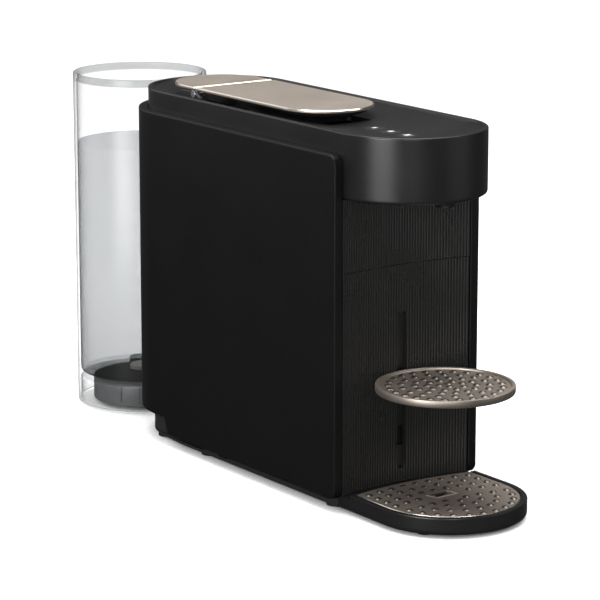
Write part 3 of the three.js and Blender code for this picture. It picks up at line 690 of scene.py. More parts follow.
hull = make_piece("lever_hull", [
    skin([hull_ring(i / 10) for i in range(11)]),
    block((-24, 24), (197, 212), (275.4, HULL_HIGH), 0.5),
], inner_abs, crease=50)
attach(hull, "lever")
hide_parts("lever_underside")
print("hull:", len(hull.data.polygons), "faces")

# %% [markdown]
# **Hinge fittings.** A small moulded ear on each side holds the end of a steel pin. Each is a
# short loaf: a rounded outline pushed sideways.

# %% Hinge fittings
PIN_Y = sum(span("lever_hinge_pin")[1]) / 2
PIN_Z = sum(span("lever_hinge_pin")[2]) / 2
for name, side in (("left", -1), ("right", 1)):
    node = f"hinge_bracket_{name}"
    (x0, x1), (y0, y1), (z0, z1) = span(node)
    foot = [(y0, z0), (y1, z0)]
    crown = corner((y1 - 8, z1 - 2.5), 2.5, 60, 90, 3) + corner((y0 + 8, z1 - 2.5), 2.5, 90, 120, 3)
    outline = foot + [(y1, z0 + 1)] + crown + [(y0, z0 + 1)]
    middle = (sum(y for y, _ in outline) / len(outline), sum(z for _, z in outline) / len(outline))
    rings = []
    for x, shrink in ((x0, 0.94), (x0 + 0.4, 1), (x1 - 0.4, 1), (x1, 0.94)):
        rings.append([
            (x, middle[0] + (y - middle[0]) * shrink, max(z0, middle[1] + (z - middle[1]) * shrink))
            for y, z in outline
        ])
    boss = turned([(2.6, x0 - 0.25), (2.9, x0), (2.9, x1), (2.6, x1 + 0.25)],
                  crosswise_at(PIN_Y, PIN_Z - 0.6), 24)
    bracket = make_piece(f"hinge_ear_{name}", [skin(rings), boss], inner_abs)
    bracket.data.materials.append(steel)
    for face in bracket.data.polygons:
        if not x0 - 0.1 < face.center.x / MM < x1 + 0.1:
            face.material_index = 1
    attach(bracket, "chassis")
    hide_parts(node)
print(f"hinge pin at y {PIN_Y:.1f}, z {PIN_Z:.1f}")

# %% [markdown]
# **Keys.** Three round caps sit flush in the deck strip, each with a white printed cup: small,
# medium and large. The print is a thin skin of its own on top of each cap, so it moves with the
# key when it is pressed.

# %% Keys and their cup signs
PRINT = 0.05
KEY_SKIRT = 9.6


def cup_sign(size, y, top):
    """A cup seen from the side: a bowl, its handle and a saucer line, size mm wide."""
    bowl = [(-0.5, 0.34), (-0.5, 0.12)]
    bowl += [(-0.5 + 0.22 * (1 - math.cos(t)), 0.12 - 0.4 * math.sin(t)) for t in
             (0.4, 0.8, 1.2, 1.57)]
    bowl += [(-x, z) for x, z in reversed(bowl)]
    bowl = [(x * 0.8 - 0.08, z) for x, z in bowl]
    handle = [(0.32 + 0.2 * math.cos(t), 0.1 + 0.2 * math.sin(t)) for t in
              [math.pi * (i / 8 - 0.5) for i in range(9)]]
    handle += [(0.32 + 0.11 * math.cos(t), 0.1 + 0.11 * math.sin(t)) for t in
               [math.pi * (0.5 - i / 8) for i in range(9)]]
    saucer = [(-0.6, -0.36), (0.45, -0.36), (0.45, -0.46), (-0.6, -0.46)]
    parts = []
    for outline in (bowl, handle, saucer):
        flat = [(size * x, y + size * z) for x, z in outline]
        parts.append(skin([[(x, at, height) for x, at in flat] for height in (top, top + PRINT)]))
    return parts


for i, size in ((1, 4.6), (2, 5.6), (3, 6.6)):
    y = KEY_Y[i - 1]
    low, high = span(f"cup_button_{i}")[2]
    cap = [(KEY_SKIRT, low), (KEY_SKIRT, low + 1.4), (KEY_HALF, low + 1.4), (KEY_HALF, high - 0.25)]
    cap += corner((KEY_HALF - 0.25, high - 0.25), 0.25, 0, 90, 3)
    key = make_piece(f"key_{i}", [turned(cap, upright_at(0, y), 72)], key_abs)
    sign = make_piece(f"key_sign_{i}", cup_sign(size, y, high), white_print)
    dot = [turned([(0.55, high), (0.55, high + PRINT)], upright_at(5.4, y + 1.5), 12)]
    lamp = make_piece(f"key_lamp_{i}", dot, inner_abs)
    for piece in (key, sign, lamp):
        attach(piece, f"cup_button_{i}")
    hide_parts(f"cup_button_{i}")
print("keys at y", [round(y, 1) for y in KEY_Y])

# %% [markdown]
# **Repeats grow by rule.** Ribs, domes, feet and screws are one shape many times over. Each kind
# is written once as a Geometry Nodes tree with named inputs. `grow` runs a tree on a few points
# and keeps the finished mesh, so nothing is left to be worked out later.

# %% Helpers for Geometry Nodes
def new_rule(name, **inputs):
    """A Geometry Nodes tree with the named inputs; returns it with the sockets that carry them."""
    tree = bpy.data.node_groups.new(name, "GeometryNodeTree")
    sockets = {"Geometry": "Geometry", **inputs}
    for label, kind in sockets.items():
        tree.interface.new_socket(label, in_out="INPUT", socket_type="NodeSocket" + kind)
    tree.interface.new_socket("Geometry", in_out="OUTPUT", socket_type="NodeSocketGeometry")
    return tree, tree.nodes.new("NodeGroupInput").outputs


def grow(name, tree, points, **values):
    """An object grown by a tree from points in millimetres."""
    mesh = bpy.data.meshes.new(name)
    mesh.from_pydata([to_frame(point) for point in points], [], [])
    made = bpy.data.objects.new(name, mesh)
    scene.collection.objects.link(made)
    modifier = made.modifiers.new("rule", "NODES")
    modifier.node_group = tree
    for item in tree.interface.items_tree:
        if item.name in values:
            modifier[item.identifier] = values[item.name]
    made = settled(made)
    made.data.materials.clear()
    made.data.materials.append(values["Material"])
    for face in made.data.polygons:
        face.material_index = 0
    return made


# %% [markdown]
# **Ribs.** The front panels are reeded: upright half-round ribs side by side on a hollow curve.
# On the real panel they are cut into the mould with a ball-nosed cutter. The tree bends one flat
# strip into a rib: across the panel a point moves by the sine of its place, and forwards by the
# cosine. Then it repeats the rib along a line and welds the strips into one sheet.

# %% Rule for ribbed panels: the ribs
ribs, given = new_rule("ribbed_panel", Ribs="Int", Pitch="Float", Depth="Float", Radius="Float",
                       Centre="Float", Start="Vector", Height="Float", Thickness="Float",
                       Material="Material")
strip = add_node(ribs, "GeometryNodeMeshGrid",
                 {"Size X": 1.0, "Size Y": 1.0, "Vertices X": 9, "Vertices Y": 2})
place = add_node(ribs, "GeometryNodeInputPosition")
at = add_node(ribs, "ShaderNodeSeparateXYZ", {0: place.outputs[0]})
turn = add_node(ribs, "ShaderNodeMath", {0: at.outputs["X"], 1: math.pi}, operation="MULTIPLY")
sine = add_node(ribs, "ShaderNodeMath", {0: turn.outputs[0]}, operation="SINE")
cosine = add_node(ribs, "ShaderNodeMath", {0: turn.outputs[0]}, operation="COSINE")
half_pitch = add_node(ribs, "ShaderNodeMath", {0: given["Pitch"], 1: 0.5}, operation="MULTIPLY")
across = add_node(ribs, "ShaderNodeMath", {0: sine.outputs[0], 1: half_pitch.outputs[0]},
                  operation="MULTIPLY")
minus = add_node(ribs, "ShaderNodeMath", {0: given["Depth"], 1: -1.0}, operation="MULTIPLY")
forward = add_node(ribs, "ShaderNodeMath", {0: cosine.outputs[0], 1: minus.outputs[0]},
                   operation="MULTIPLY")
upward = add_node(ribs, "ShaderNodeMath", {0: at.outputs["Y"], 1: given["Height"]},
                  operation="MULTIPLY")
bent = add_node(ribs, "ShaderNodeCombineXYZ",
                {"X": across.outputs[0], "Y": forward.outputs[0], "Z": upward.outputs[0]})
rib = add_node(ribs, "GeometryNodeSetPosition",
               {"Geometry": strip.outputs["Mesh"], "Position": bent.outputs[0]})
pitch = add_node(ribs, "ShaderNodeCombineXYZ", {"X": given["Pitch"]})
row = add_node(ribs, "GeometryNodeMeshLine",
               {"Count": given["Ribs"], "Start Location": given["Start"],
                "Offset": pitch.outputs[0]})
many = add_node(ribs, "GeometryNodeInstanceOnPoints",
                {"Points": row.outputs["Mesh"], "Instance": rib.outputs["Geometry"]})
real = add_node(ribs, "GeometryNodeRealizeInstances", {"Geometry": many.outputs["Instances"]})
sheet = add_node(ribs, "GeometryNodeMergeByDistance",
                 {"Geometry": real.outputs["Geometry"], "Distance": 1e-6})

# %% [markdown]
# The sheet is still flat. Each point is now pushed back by the height of a circle over its X, which
# is the root of radius squared less X squared. The rim is extruded in place, its far copy goes to a
# smooth surface behind, and front and back are welded into one closed panel.

# %% Rule for ribbed panels: the curve and the back
square = add_node(ribs, "ShaderNodeMath", {0: at.outputs["X"], 1: at.outputs["X"]},
                  operation="MULTIPLY")
limit = add_node(ribs, "ShaderNodeMath", {0: given["Radius"], 1: given["Radius"]},
                 operation="MULTIPLY")
inside = add_node(ribs, "ShaderNodeMath", {0: limit.outputs[0], 1: square.outputs[0]},
                  operation="SUBTRACT")
root = add_node(ribs, "ShaderNodeMath", {0: inside.outputs[0]}, operation="SQRT")
curve = add_node(ribs, "ShaderNodeMath", {0: root.outputs[0], 1: given["Centre"]}, operation="ADD")
shift = add_node(ribs, "ShaderNodeCombineXYZ", {"Y": curve.outputs[0]})
front = add_node(ribs, "GeometryNodeSetPosition",
                 {"Geometry": sheet.outputs["Geometry"], "Offset": shift.outputs[0]})
thick = add_node(ribs, "GeometryNodeExtrudeMesh",
                 {"Mesh": front.outputs["Geometry"], "Offset Scale": 0.0, "Individual": False})
behind = add_node(ribs, "ShaderNodeMath", {0: curve.outputs[0], 1: given["Thickness"]},
                  operation="ADD")
rear = add_node(ribs, "ShaderNodeCombineXYZ",
                {"X": at.outputs["X"], "Y": behind.outputs[0], "Z": at.outputs["Z"]})
back = add_node(ribs, "GeometryNodeSetPosition",
                {"Geometry": thick.outputs["Mesh"], "Selection": thick.outputs["Top"],
                 "Position": rear.outputs[0]})
outward = add_node(ribs, "GeometryNodeFlipFaces", {"Mesh": back.outputs["Geometry"]})
both = add_node(ribs, "GeometryNodeJoinGeometry", {"Geometry": front.outputs["Geometry"]})
ribs.links.new(outward.outputs["Mesh"], both.inputs["Geometry"])
solid = add_node(ribs, "GeometryNodeMergeByDistance",
                 {"Geometry": both.outputs["Geometry"], "Distance": 1e-6})
whole = add_node(ribs, "GeometryNodeRealizeInstances", {"Geometry": solid.outputs["Geometry"]})
dressed = add_node(ribs, "GeometryNodeSetMaterial",
                   {"Geometry": whole.outputs["Geometry"], "Material": given["Material"]})
add_node(ribs, "NodeGroupOutput", {"Geometry": dressed.outputs["Geometry"]})
print("ribbed panel rule:", len(ribs.nodes), "nodes")

# %% [markdown]
# **Copies.** The second tree is the plainest one there is. It puts the same template on every
# point. It serves the domes of the grid and the cup stand, the feet and the screws.

# %% Rule for copies
copies, given = new_rule("copies", Template="Object", Material="Material")
model = add_node(copies, "GeometryNodeObjectInfo", {"Object": given["Template"]})
many = add_node(copies, "GeometryNodeInstanceOnPoints",
                {"Points": given["Geometry"], "Instance": model.outputs["Geometry"]})
real = add_node(copies, "GeometryNodeRealizeInstances", {"Geometry": many.outputs["Instances"]})
dressed = add_node(copies, "GeometryNodeSetMaterial",
                   {"Geometry": real.outputs["Geometry"], "Material": given["Material"]})
add_node(copies, "NodeGroupOutput", {"Geometry": dressed.outputs["Geometry"]})


def repeat(name, profile, points, material, steps=24):
    """Copies of a turned template, from (radius, height) pairs in millimetres, on points."""
    def from_zero(a, b, along):
        return (a, b - FRONT / MM, along)
    template = make_piece("template", [turned(profile, from_zero, steps)], material)
    made = grow(name, copies, points, Template=template, Material=material)
    bpy.data.objects.remove(template)
    shade(made)
    return made


print("copies rule:", len(copies.nodes), "nodes")

# %% [markdown]
# **The two front panels** come from the same rule. The lower one belongs to the drawer. It has a
# spine behind its middle with an upright groove, and two openings in the groove where the cup
# stand hooks in at either height.

# %% Upper panel
RIBS = 48
RIB_DEPTH = 1.3
CURVE = 280.0
PANEL_MIDDLE = 6.4
PANEL_THICK = 3.0


def ribbed(name, node):
    """A ribbed panel as wide and tall as a CAD node."""
    half = span(node)[0][1]
    low, high = span(node)[2]
    pitch = 2 * half / RIBS
    start = (-half + pitch / 2, 0, (low + high) / 2)
    return grow(
        name, ribs, [(0, 0, 0)], Ribs=RIBS, Pitch=pitch * MM, Depth=RIB_DEPTH * MM,
        Radius=CURVE * MM, Centre=FRONT + (PANEL_MIDDLE + RIB_DEPTH - CURVE) * MM,
        Start=[v * MM for v in start], Height=(high - low) * MM, Thickness=(PANEL_THICK - RIB_DEPTH) * MM,
        Material=rib_abs,
    )


upper_panel = ribbed("upper_panel", "upper_front_panel")
shade(upper_panel, 50)
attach(upper_panel, "chassis")
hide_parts("upper_front_panel")

# %% Lower panel with its groove
GROOVE_HALF = 4.2
GROOVE_FOOT, GROOVE_TOP = 26.7, 140
HOOK_HOLES = [(39.5, 54.5), (82.5, 97.5)]
lower_panel = ribbed("lower_panel", "lower_front_panel")
spine = make_piece("spine", [block((-7.2, 7.2), (7.9, 12.2), (15, 150))], rib_abs)
lower_panel = combine(lower_panel, "UNION", spine)
groove = [(GROOVE_HALF, GROOVE_TOP), (-GROOVE_HALF, GROOVE_TOP)]
groove += corner((0, GROOVE_FOOT), GROOVE_HALF, 180, 360, 12)
cutters = [make_piece("groove", [skin([[(x, y, z) for x, z in groove] for y in (-2, 9.8)])],
                      rib_abs)]
for low, high in HOOK_HOLES:
    cutters.append(make_piece("hook_hole", [block((-4, 4), (0, 20), (low, high), 0.6)], inner_abs))
lower_panel = combine(lower_panel, "DIFFERENCE", *cutters)
shade(lower_panel, 50)
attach(lower_panel, "drawer")
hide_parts("lower_front_panel")
print("panels:", len(upper_panel.data.polygons), "and", len(lower_panel.data.polygons), "faces")

# %% [markdown]
# ** The drip tray** is one deep moulding: soft below, thin rimmed above, with a step for the grid
# to lie on and a basin beneath it. A runner behind guides the drawer.

# %% Drip tray
TRAY_HALF = span("drip_tray")[0][1]
TRAY_NOSE = span("drip_tray")[1][0] + TRAY_HALF
TRAY_LOW, TRAY_HIGH = span("drip_tray")[2]
GRID_HALF = span("drip_grid")[0][1]
GRID_LOW, GRID_HIGH = span("drip_grid")[2]
BOW = 5.8
SEAT_REAR = -2.6
SEAT_GAP = 0.4
LEDGE_Z = 12.3
BASIN_HALF = 50.4
BASIN_REAR = -5.4
BASIN_FLOOR = 5.0

rings = []
for inset, z in [(3.2, TRAY_LOW), (1.7, TRAY_LOW + 0.25), (0.7, TRAY_LOW + 0.95),
                 (0.15, TRAY_LOW + 2), (0, TRAY_LOW + 3.2), (0, TRAY_LOW + 4),
                 (0, TRAY_HIGH - 1.2), (0, TRAY_HIGH - 0.6),
                 (0.18, TRAY_HIGH - 0.18), (0.6, TRAY_HIGH)]:
    rings.append(tongue(TRAY_HALF - inset, TRAY_NOSE, 6.2 - inset, z, steps=96))
tray = make_piece("tray", [skin(rings)], tray_abs)
cutters = []
for name, half, rear_y, low in (("seat", GRID_HALF + SEAT_GAP, SEAT_REAR, GRID_LOW - 0.3),
                                ("basin", BASIN_HALF, BASIN_REAR, BASIN_FLOOR)):
    levels = [(0, low), (0, TRAY_HIGH - 0.4), (-0.4, TRAY_HIGH), (-0.4, 20)]
    cutters.append(make_piece(name, [skin([
        tongue(half - inset, TRAY_NOSE, rear_y - inset, z, bow=BOW, steps=96)
        for inset, z in levels])], tray_abs))
edge = [(x, SEAT_REAR - BOW * (x / 53.2) ** 2) for x in range(60, -61, -10)]
ledge = [(60, 8)] + edge + [(-60, 8)]
cutters.append(make_piece("ledge", [skin([[(x, y, z) for x, y in ledge] for z in (LEDGE_Z, 20)])],
                          tray_abs))
tray = combine(tray, "DIFFERENCE", *cutters)
runner = make_piece("runner", [block((-50.8, 50.8), (5.2, 132), (5.4, 9.4), 1)], tray_abs)
tray = combine(tray, "UNION", runner)
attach(tray, "drawer")
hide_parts("drip_tray")
print("tray:", len(tray.data.polygons), "faces")

# %% [markdown]
# **The grid** is a stamped plate with a cut bright edge, a short drain slot with a raised lip, and
# rows of domes that keep the cup's foot out of the wet. Straight rows lie at the back, and
# towards the round front the domes follow arcs.

# %% Drip grid
GRID_REAR = -3
GRID_CUT = 0.9
DRAIN = [(-11.7, -40.3), (-9.0, -48.7), (9.4, -47.6), (6.6, -39.2)]

rings = [tongue(GRID_HALF - inset, TRAY_NOSE, GRID_REAR - inset, z, bow=BOW, steps=96)
         for inset, z in [(0.3, GRID_LOW), (0, GRID_LOW + 0.3), (0, GRID_HIGH - GRID_CUT),
                          (GRID_CUT, GRID_HIGH)]]
grid = make_piece("grid", [skin(rings)], champagne)
cut_edge(grid, champagne_edge, GRID_HIGH - GRID_CUT, GRID_HIGH)
drain = make_piece("drain", [skin([[(x, y, z) for x, y in DRAIN] for z in (5, 20)])],
                   champagne_edge)
grid = combine(grid, "DIFFERENCE", drain)
middle = [sum(v) / 4 for v in zip(*DRAIN)]
rings = []
for grown, z in ((1.14, GRID_HIGH - 0.1), (1.05, GRID_HIGH + 0.7), (1, GRID_HIGH + 0.7),
                 (1, GRID_HIGH - 1.5)):
    rings.append([(middle[0] + (x - middle[0]) * grown, middle[1] + (y - middle[1]) * grown, z)
                  for x, y in DRAIN])
lip = make_piece("drain_lip", [skin(rings, closed=True)], champagne)
print("grid plate:", len(grid.data.polygons), "faces")

# %% Domes of the grid
DOME = [(0.1, 1.25), (0.8, 1.18), (1.5, 0.95), (2.1, 0.6), (2.5, 0.25), (2.8, 0.0)]
ARC_Y = -48.5

rows = []
for x in (-45.4, -34.0, -22.7, -11.35, 0.0, 11.35, 22.7, 34.0, 45.4):
    for k in range(4 if abs(x) > 20 else 3):
        rows.append((x, -11 - 10.7 * k - x * x / 443, GRID_HIGH))
for radius, turns in ((45, [7.1 + 14.2 * i for i in range(-6, 6)]),
                      (33.5, [19.1 * i for i in range(-4, 5)]),
                      (22, [14.6 + 29.3 * i for i in range(-3, 3)]), (11, [-58, 0, 58])):
    for degrees in turns:
        t = math.radians(degrees)
        rows.append((radius * math.sin(t), ARC_Y - radius * math.cos(t) - 4, GRID_HIGH))
grid_domes = repeat("grid_domes", DOME, rows, dome_painted_shade, steps=16)
for piece in (grid, grid_domes, lip):
    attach(piece, "drip_grid")
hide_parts("drip_grid")
print("grid domes:", len(rows))

# %% [markdown]
# **The cup stand** is a shallow dish with a raised rim, with the same domes in rings, and a hook
# behind that drops into the groove.

# %% Cup stand
DISH_Y = -45.0
DISH_HALF = span("cup_support")[0][1]
DISH_HIGH = span("cup_support")[2][1]
DISH_LOW = DISH_HIGH - 5.4
FLOOR_Z = DISH_HIGH - 1.4
HOOK_FOOT = 82.8
DOME_RINGS = [(41, 25, -9.9), (31.8, 17, -4), (22.3, 14, 7.1), (13.4, 9, 0), (4.6, 3, 0)]

profile = [(DISH_HALF - 1, DISH_LOW), (DISH_HALF - 0.3, DISH_LOW + 0.3),
           (DISH_HALF, DISH_LOW + 1), (DISH_HALF, DISH_HIGH - 0.5),
           (DISH_HALF - 0.15, DISH_HIGH - 0.15), (DISH_HALF - 0.5, DISH_HIGH),
           (DISH_HALF - 2.5, DISH_HIGH), (DISH_HALF - 2.9, DISH_HIGH - 0.3),
           (DISH_HALF - 3.1, FLOOR_Z + 0.3), (DISH_HALF - 3.5, FLOOR_Z)]
hook = block((-3.7, 3.7), (2, 9.2), (HOOK_FOOT, DISH_LOW + 1.5), 0.5)
dish = make_piece("dish", [turned(profile, upright_at(0, DISH_Y), 128), hook], champagne)
rows = []
for radius, count, first in DOME_RINGS:
    for i in range(count):
        t = math.radians(first + 360 * i / count)
        rows.append((radius * math.sin(t), DISH_Y - radius * math.cos(t), FLOOR_Z))
dish_domes = repeat("dish_domes", [(r * 1.1, h) for r, h in DOME], rows, dome_painted_shade, steps=16)
for piece in (dish, dish_domes):
    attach(piece, "cup_stand")
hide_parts("cup_support")
print("dish domes:", len(rows))

# %% [markdown]
# **The tank** is a clear jug moulded in copolyester: a thin wall, a thick rim, and a skirt below
# the floor that slips over the dock. It is turned in one go, inside and out, as one closed
# profile. Rim, floor and skirt are thick enough to look grey, so their faces get the darker skin.

# %% Tank
TANK_Y = (span("water_tank")[1][0] + span("water_tank")[1][1]) / 2
TANK_HALF = span("water_tank")[0][1]
TANK_LOW, TANK_HIGH = span("water_tank")[2]
INNER = TANK_HALF - 2.6
TANK_FLOOR = 26.3
RIM_DEEP = 6.1

profile = [(TANK_HALF - 0.3, TANK_LOW), (TANK_HALF, TANK_LOW + 0.4),
           (TANK_HALF, TANK_HIGH - 6), (TANK_HALF, TANK_HIGH - 0.8)]
profile += corner((TANK_HALF - 0.8, TANK_HIGH - 0.8), 0.8, 0, 90)[1:]
profile += corner((INNER + 0.1, TANK_HIGH - 0.8), 0.8, 90, 180)
profile += [(INNER - 0.7, TANK_HIGH - 5), (INNER, TANK_HIGH - 6.2), (INNER, TANK_FLOOR + 3)]
profile += corner((INNER - 3, TANK_FLOOR + 3), 3, 0, -90, 6)[1:]
profile += [(8, TANK_FLOOR), (8, TANK_FLOOR - 4), (INNER - 1, TANK_FLOOR - 4),
            (INNER, TANK_FLOOR - 5), (INNER, TANK_LOW + 0.3), (INNER + 0.3, TANK_LOW)]
tank = make_piece("tank", [turned(profile, upright_at(0, TANK_Y), 160, closed=True)], copolyester)
notch = make_piece("notch", [block((-17, 17), (TANK_Y - 60, TANK_Y - 40), (-4, 21.4), 1)],
                   copolyester)
tank = combine(tank, "DIFFERENCE", notch)
tank.data.materials.append(thick_copolyester)
for face in tank.data.polygons:
    if not TANK_FLOOR * MM < face.center.z < (TANK_HIGH - RIM_DEEP) * MM:
        face.material_index = 1
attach(tank, "water_tank")
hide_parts("water_tank")
print("tank:", len(tank.data.polygons), "faces")

# %% [markdown]
# **Water and valve.** The water is turned too, a hair smaller than the jug. It leaves a dry well
# over the valve, high enough for the valve to lift without touching it.

# %% Water and valve
WATER_Z = 217.0
GAP = 0.12
WELL_HALF = 11.4
WELL_TOP = 35.8
profile = [(WELL_HALF, WELL_TOP), (WELL_HALF, TANK_FLOOR + GAP), (INNER - 3, TANK_FLOOR + GAP)]
profile += corner((INNER - 3 - GAP, TANK_FLOOR + 3 + GAP), 3, -80, 0, 5)
profile += [(INNER - GAP, WATER_Z - 0.5), (INNER - GAP - 0.5, WATER_Z)]
water_body = make_piece("water", [turned(profile, upright_at(0, TANK_Y), 160)], water)
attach(water_body, "water_tank")

profile = [(3.2, 18.4), (3.2, 26.6), (11, 26.8), (11, 29.6), (10.6, 30), (4, 32)]
valve = make_piece("valve", [turned(profile, upright_at(0, TANK_Y), 40)], acetal)
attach(valve, "tank_valve")
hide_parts("tank_valve")
print(f"water from {TANK_FLOOR:.1f} to {WATER_Z:.1f}")

# %% [markdown]
# ** The tank's arm** is one grey moulding in three parts: a hub under the machine, a bar, and the
# round dock that the jug's skirt drops over. The arm swings about the hub. The hub sits in the
# machine's own shade, so its faces are painted black as painted shade, and only bar and dock show grey.

# %% Tank arm
ARM_LOW, ARM_HIGH = 5.4, 21.8
HUB_HALF = 55
DOCK_HALF = 41

arm = make_piece("arm", [turned(
    [(HUB_HALF - 0.6, ARM_LOW), (HUB_HALF, ARM_LOW + 0.6), (HUB_HALF, ARM_HIGH - 0.6),
     (HUB_HALF - 0.6, ARM_HIGH)], upright_at(0, REAR_Y), 128)], grey_abs)
bar = make_piece("bar", [block((-15, 15), (REAR_Y, TANK_Y), (ARM_LOW, ARM_HIGH - 1.2), 1)], grey_abs)
dock = make_piece("dock", [turned(
    [(DOCK_HALF - 1, 3), (DOCK_HALF - 0.3, 3.3), (DOCK_HALF, 4), (DOCK_HALF, 21),
     (DOCK_HALF - 0.3, 21.5), (DOCK_HALF - 0.8, ARM_HIGH)], upright_at(0, TANK_Y), 128)], grey_abs)
arm = combine(arm, "UNION", bar, dock)
bore = make_piece("bore", [turned([(12.4, 0), (12.4, 30)], upright_at(0, REAR_Y), 64)], grey_abs)
socket = make_piece("socket", [turned([(10, 12), (10, 30)], upright_at(0, TANK_Y), 64)], grey_abs)
grooves = []
for degrees in (-58, -36, 36, 58, 130, 230):
    t = math.radians(degrees)
    x, y = DOCK_HALF * math.sin(t), TANK_Y - DOCK_HALF * math.cos(t)
    grooves.append(make_piece("side_groove", [block((x - 0.5, x + 0.5), (y - 0.5, y + 0.5),
                                                    (6, 19), 0.1)], grey_abs))
arm = combine(arm, "DIFFERENCE", bore, socket, *grooves)
# the hub's faces get black plastic: painted shade over the grey moulding
arm.data.materials.append(inner_abs)
for face in arm.data.polygons:
    if face.center.y < FRONT + (REAR_Y + HUB_HALF + 1) * MM:
        face.material_index = 1
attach(arm, "tank_arm")
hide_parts("tank_arm")
print("arm:", len(arm.data.polygons), "faces")

# %% [markdown]
# **The base pan** is the part that the machine stands on: a shallow plate with rails for the
# drawer, a block that carries the pump, and the pillar that the tank's arm turns on.

# %% Base pan
BASE_LOW = span("base_plate")[2][0]
BASE_FRONT = 6.8
BASE_STEP = 217.0
STEP_IN = 2.4
RAIL_X = (51.5, 57.4)
SCREWS = [(-42, 150), (42, 150), (-42, 40), (42, 40)]


def arch(half, front_y, z, steps=96):
    """A ring that is square in front, steps in at the sides, and is round behind."""
    ring = [(-half, BASE_STEP, z), (-half, front_y, z), (half, front_y, z), (half, BASE_STEP, z)]
    half -= STEP_IN
    for i in range(steps + 1):
        t = math.pi * i / steps
        ring.append((half * math.cos(t), REAR_Y + half * math.sin(t), z))
    return ring


base = make_piece("base", [skin([arch(CORE_HALF - inset, BASE_FRONT + inset, z) for inset, z in
                                 [(0.8, BASE_LOW), (0, BASE_LOW + 0.8), (0, 5.1)]])], inner_abs)
joined = [block((-RAIL_X[1], RAIL_X[1]), (133, 182), (3, 9.8), 0.4)]
joined += [block(sorted(side * x for x in RAIL_X), (BASE_FRONT, 134), (3, 10), 0.4)
           for side in (-1, 1)]
joined = [make_piece("joined", [part], inner_abs) for part in joined]
joined.append(make_piece("pillar", [turned([(12, 3), (12, 22), (11.6, 22.4)],
                                           upright_at(0, REAR_Y), 64)], inner_abs))
base = combine(base, "UNION", *joined)
cutters = [make_piece("way", [turned([(6.5, 0), (6.5, 30)], upright_at(0, REAR_Y), 48)], inner_abs),
           make_piece("cord_way", [block((-60, -45), (149.5, 161.5), (5.2, 12), 0.3)], inner_abs)]
for x, y in SCREWS:
    cutters.append(make_piece("recess", [turned([(3.4, 0), (3.4, BASE_LOW + 1.6)],
                                                upright_at(x, y), 32)], inner_abs))
base = combine(base, "DIFFERENCE", *cutters)
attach(base, "chassis")
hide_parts("base_plate")
print("base:", len(base.data.polygons), "faces")

# %% [markdown]
# **Feet and screws** are copies again. The machine has six feet, and the drawer's tray has two
# smaller ones of its own, so that it slides over the table. Four screws close the base pan.

# %% Feet and screws
FOOT = [(6.4, 0), (6.85, 0.2), (7, 0.7), (7, 2.2)]
FEET = [(side * x, y, 0) for x, y in ((48.5, 21), (48.5, 186), (46, 252)) for side in (-1, 1)]
feet = repeat("feet", FOOT, FEET, rubber)
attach(feet, "chassis")
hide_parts(*[f"foot_{i}" for i in range(1, 7)])
tray_feet = repeat("tray_feet", [(r - 1, z) for r, z in FOOT], [(-38, -72, 0), (38, -72, 0)],
                   rubber)
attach(tray_feet, "drawer")
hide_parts("tray_foot_left", "tray_foot_right")
HEAD = [(1.1, 0.7), (1.3, 0), (2.6, 0), (3, 0.35), (3, 1.2)]
screws = repeat("screws", HEAD, [(x, y, BASE_LOW + 0.1) for x, y in SCREWS], steel)
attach(screws, "chassis")
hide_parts(*[f"base_screw_{i}" for i in range(1, 5)])
print("feet, tray feet and screws placed")

# %% [markdown]
# **Spout and container.** The spout is a small turned nozzle under the head. The container for
# spent pods is a thin bucket with a rolled rim that rides behind the lower panel.

# %% Spout and container
SPOUT_Y = -42
profile = [(3, 225.4), (3.4, 225), (6.6, 225), (7.2, 225.6), (8.2, 228), (9.2, 230.6), (9.2, 238),
           (7, 241), (3, 241)]
spout = make_piece("spout", [turned(profile, upright_at(0, SPOUT_Y), 64, closed=True)], head_abs)
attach(spout, "chassis")
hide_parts("coffee_spout")

BUCKET_X, BUCKET_Y, BUCKET_Z = span("capsule_container")


def bucket_ring(inset, z, radius=9):
    """A rounded rectangle as a ring, pulled in by inset."""
    (x0, x1), (y0, y1) = BUCKET_X, BUCKET_Y
    ring = []
    for cx, cy, start in ((x1, y1, 0), (x0, y1, 90), (x0, y0, 180), (x1, y0, 270)):
        cx = cx - radius if cx == x1 else cx + radius
        cy = cy - radius if cy == y1 else cy + radius
        ring += [(x, y, z) for x, y in corner((cx, cy), radius - inset, start, start + 90, 6)]
    return ring


low, high = BUCKET_Z
levels = [(2, low), (0.6, low + 0.6), (0, low + 2), (0, high - 0.4), (0.4, high), (1.6, high),
          (2, high - 0.4), (2, low + 4), (2.6, low + 2.6), (4, low + 2)]
bucket = make_piece("bucket", [skin([bucket_ring(inset, z) for inset, z in levels])], inner_abs)
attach(bucket, "drawer")
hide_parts("capsule_container")
print("spout and bucket:", len(spout.data.polygons), "and", len(bucket.data.polygons), "faces")

# %% [markdown]
# **Studio.** The machine stands on a plain white table in a white room. Shiny things show the
# room, and in a white room satin black turns grey. So the room is white to the camera and to
# soft light, and nearly dark to a reflection: Light Path tells the two kinds of ray apart. The
# highlights are then put back one by one with softboxes.

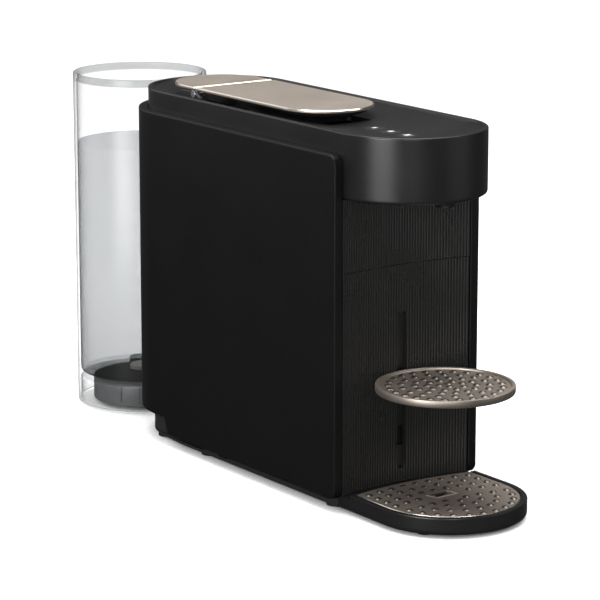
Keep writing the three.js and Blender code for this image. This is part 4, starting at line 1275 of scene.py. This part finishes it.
# %% World
world = bpy.data.worlds.new("studio")
scene.world = world
world.use_nodes = True
sky = world.node_tree
sky.nodes.clear()
ray = add_node(sky, "ShaderNodeLightPath")
where = add_node(sky, "ShaderNodeTexCoord")
facing = add_node(sky, "ShaderNodeVectorMath",
                  {0: where.outputs["Generated"], 1: (math.sin(TURN), math.cos(TURN), 0)},
                  operation="DOT_PRODUCT")
backdrop = add_node(sky, "ShaderNodeMapRange",
                    {"Value": facing.outputs["Value"], "From Min": 0.55, "From Max": 0.95,
                     "To Min": 0.02, "To Max": 0.09})
seen = add_node(sky, "ShaderNodeBackground", {"Color": (1, 1, 1, 1), "Strength": 1.25})
mirrored = add_node(sky, "ShaderNodeBackground",
                    {"Color": (1, 1, 1, 1), "Strength": backdrop.outputs["Result"]})
outside = add_node(sky, "ShaderNodeMath", {0: ray.outputs["Transmission Depth"], 1: 0.5},
                   operation="LESS_THAN")
dark = add_node(sky, "ShaderNodeMath",
                {0: ray.outputs["Is Glossy Ray"], 1: outside.outputs[0]}, operation="MULTIPLY")
mixed = add_node(sky, "ShaderNodeMixShader",
                 {0: dark.outputs[0], 1: seen.outputs[0], 2: mirrored.outputs[0]})
add_node(sky, "ShaderNodeOutputWorld", {"Surface": mixed.outputs[0]})
print("room:", len(sky.nodes), "nodes")

# %% [markdown]
# Each softbox has one job. Two hang overhead and make the lever glow and the deck shine. One high
# on the right lights the far rim. One to the right of the camera draws the bright band down the
# round head, and one to its left lifts the ribs and the round edges of tray and cup stand. A faint
# one at the right keeps the far side from going flat, and one at the back left does the same for
# the long side wall. Glass would show them as white panes, so transmission rays don't see them.


# %% Lights
def softbox(name, place, aim, width, height, radiance):
    """A rectangular light at a place, facing aim, all in metres, with an even radiance."""
    data = bpy.data.lights.new(name, "AREA")
    data.shape = "RECTANGLE"
    data.size, data.size_y = width, height
    data.energy = radiance * math.pi * width * height
    made = bpy.data.objects.new(name, data)
    scene.collection.objects.link(made)
    made.location = place
    towards = Vector(aim) - Vector(place)
    made.rotation_euler = towards.to_track_quat("-Z", "Y").to_euler()
    made.visible_camera = False
    made.visible_transmission = False
    return made


def around(degrees, distance, height):
    """A point at an angle clockwise from straight ahead of the camera, about the machine."""
    t = TURN + math.radians(degrees)
    return (distance * math.sin(t), distance * math.cos(t), height)


softbox("overhead", around(-8, 0.5, 1.6), around(0, 0.2, 0.2), 1.3, 0.8, 4.8)
softbox("strip_above", around(180, 0.3, 1.6), (0, 0, 0.2), 1.6, 0.6, 5.0)
softbox("right_high", around(76, 1.0, 1.6), (0, 0, 0.28), 0.5, 0.5, 5.0)
softbox("right_of_camera", around(172, 2.0, 0.75), (0, -0.1, 0.15), 0.4, 0.9, 7.0)
softbox("left_of_camera", around(213, 1.8, 0.42), (0, -0.1, 0.1), 1.0, 0.7, 9.0)
softbox("right_front", around(110, 1.2, 0.35), (0, -0.1, 0.1), 0.7, 0.6, 0.5)
softbox("back_left", around(-70, 0.85, 0.58), (-0.06, 0, 0.22), 1.0, 0.75, 1.0)
print("lights:", [light.name for light in bpy.data.lights])

# %% Table
FLOOR_SIZE = 6.0
floor_mesh = bpy.data.meshes.new("table")
reach = FLOOR_SIZE / 2
floor_mesh.from_pydata([(-reach, -reach, 0), (reach, -reach, 0), (reach, reach, 0),
                        (-reach, reach, 0)], [], [(0, 1, 2, 3)])
table = bpy.data.objects.new("table", floor_mesh)
scene.collection.objects.link(table)
floor_mesh.materials.append(moulded_plastic("white_table", "#F4F4F4", 0.8, grain=2, depth=0.002))
table.visible_glossy = False
scene.view_settings.view_transform = "Standard"
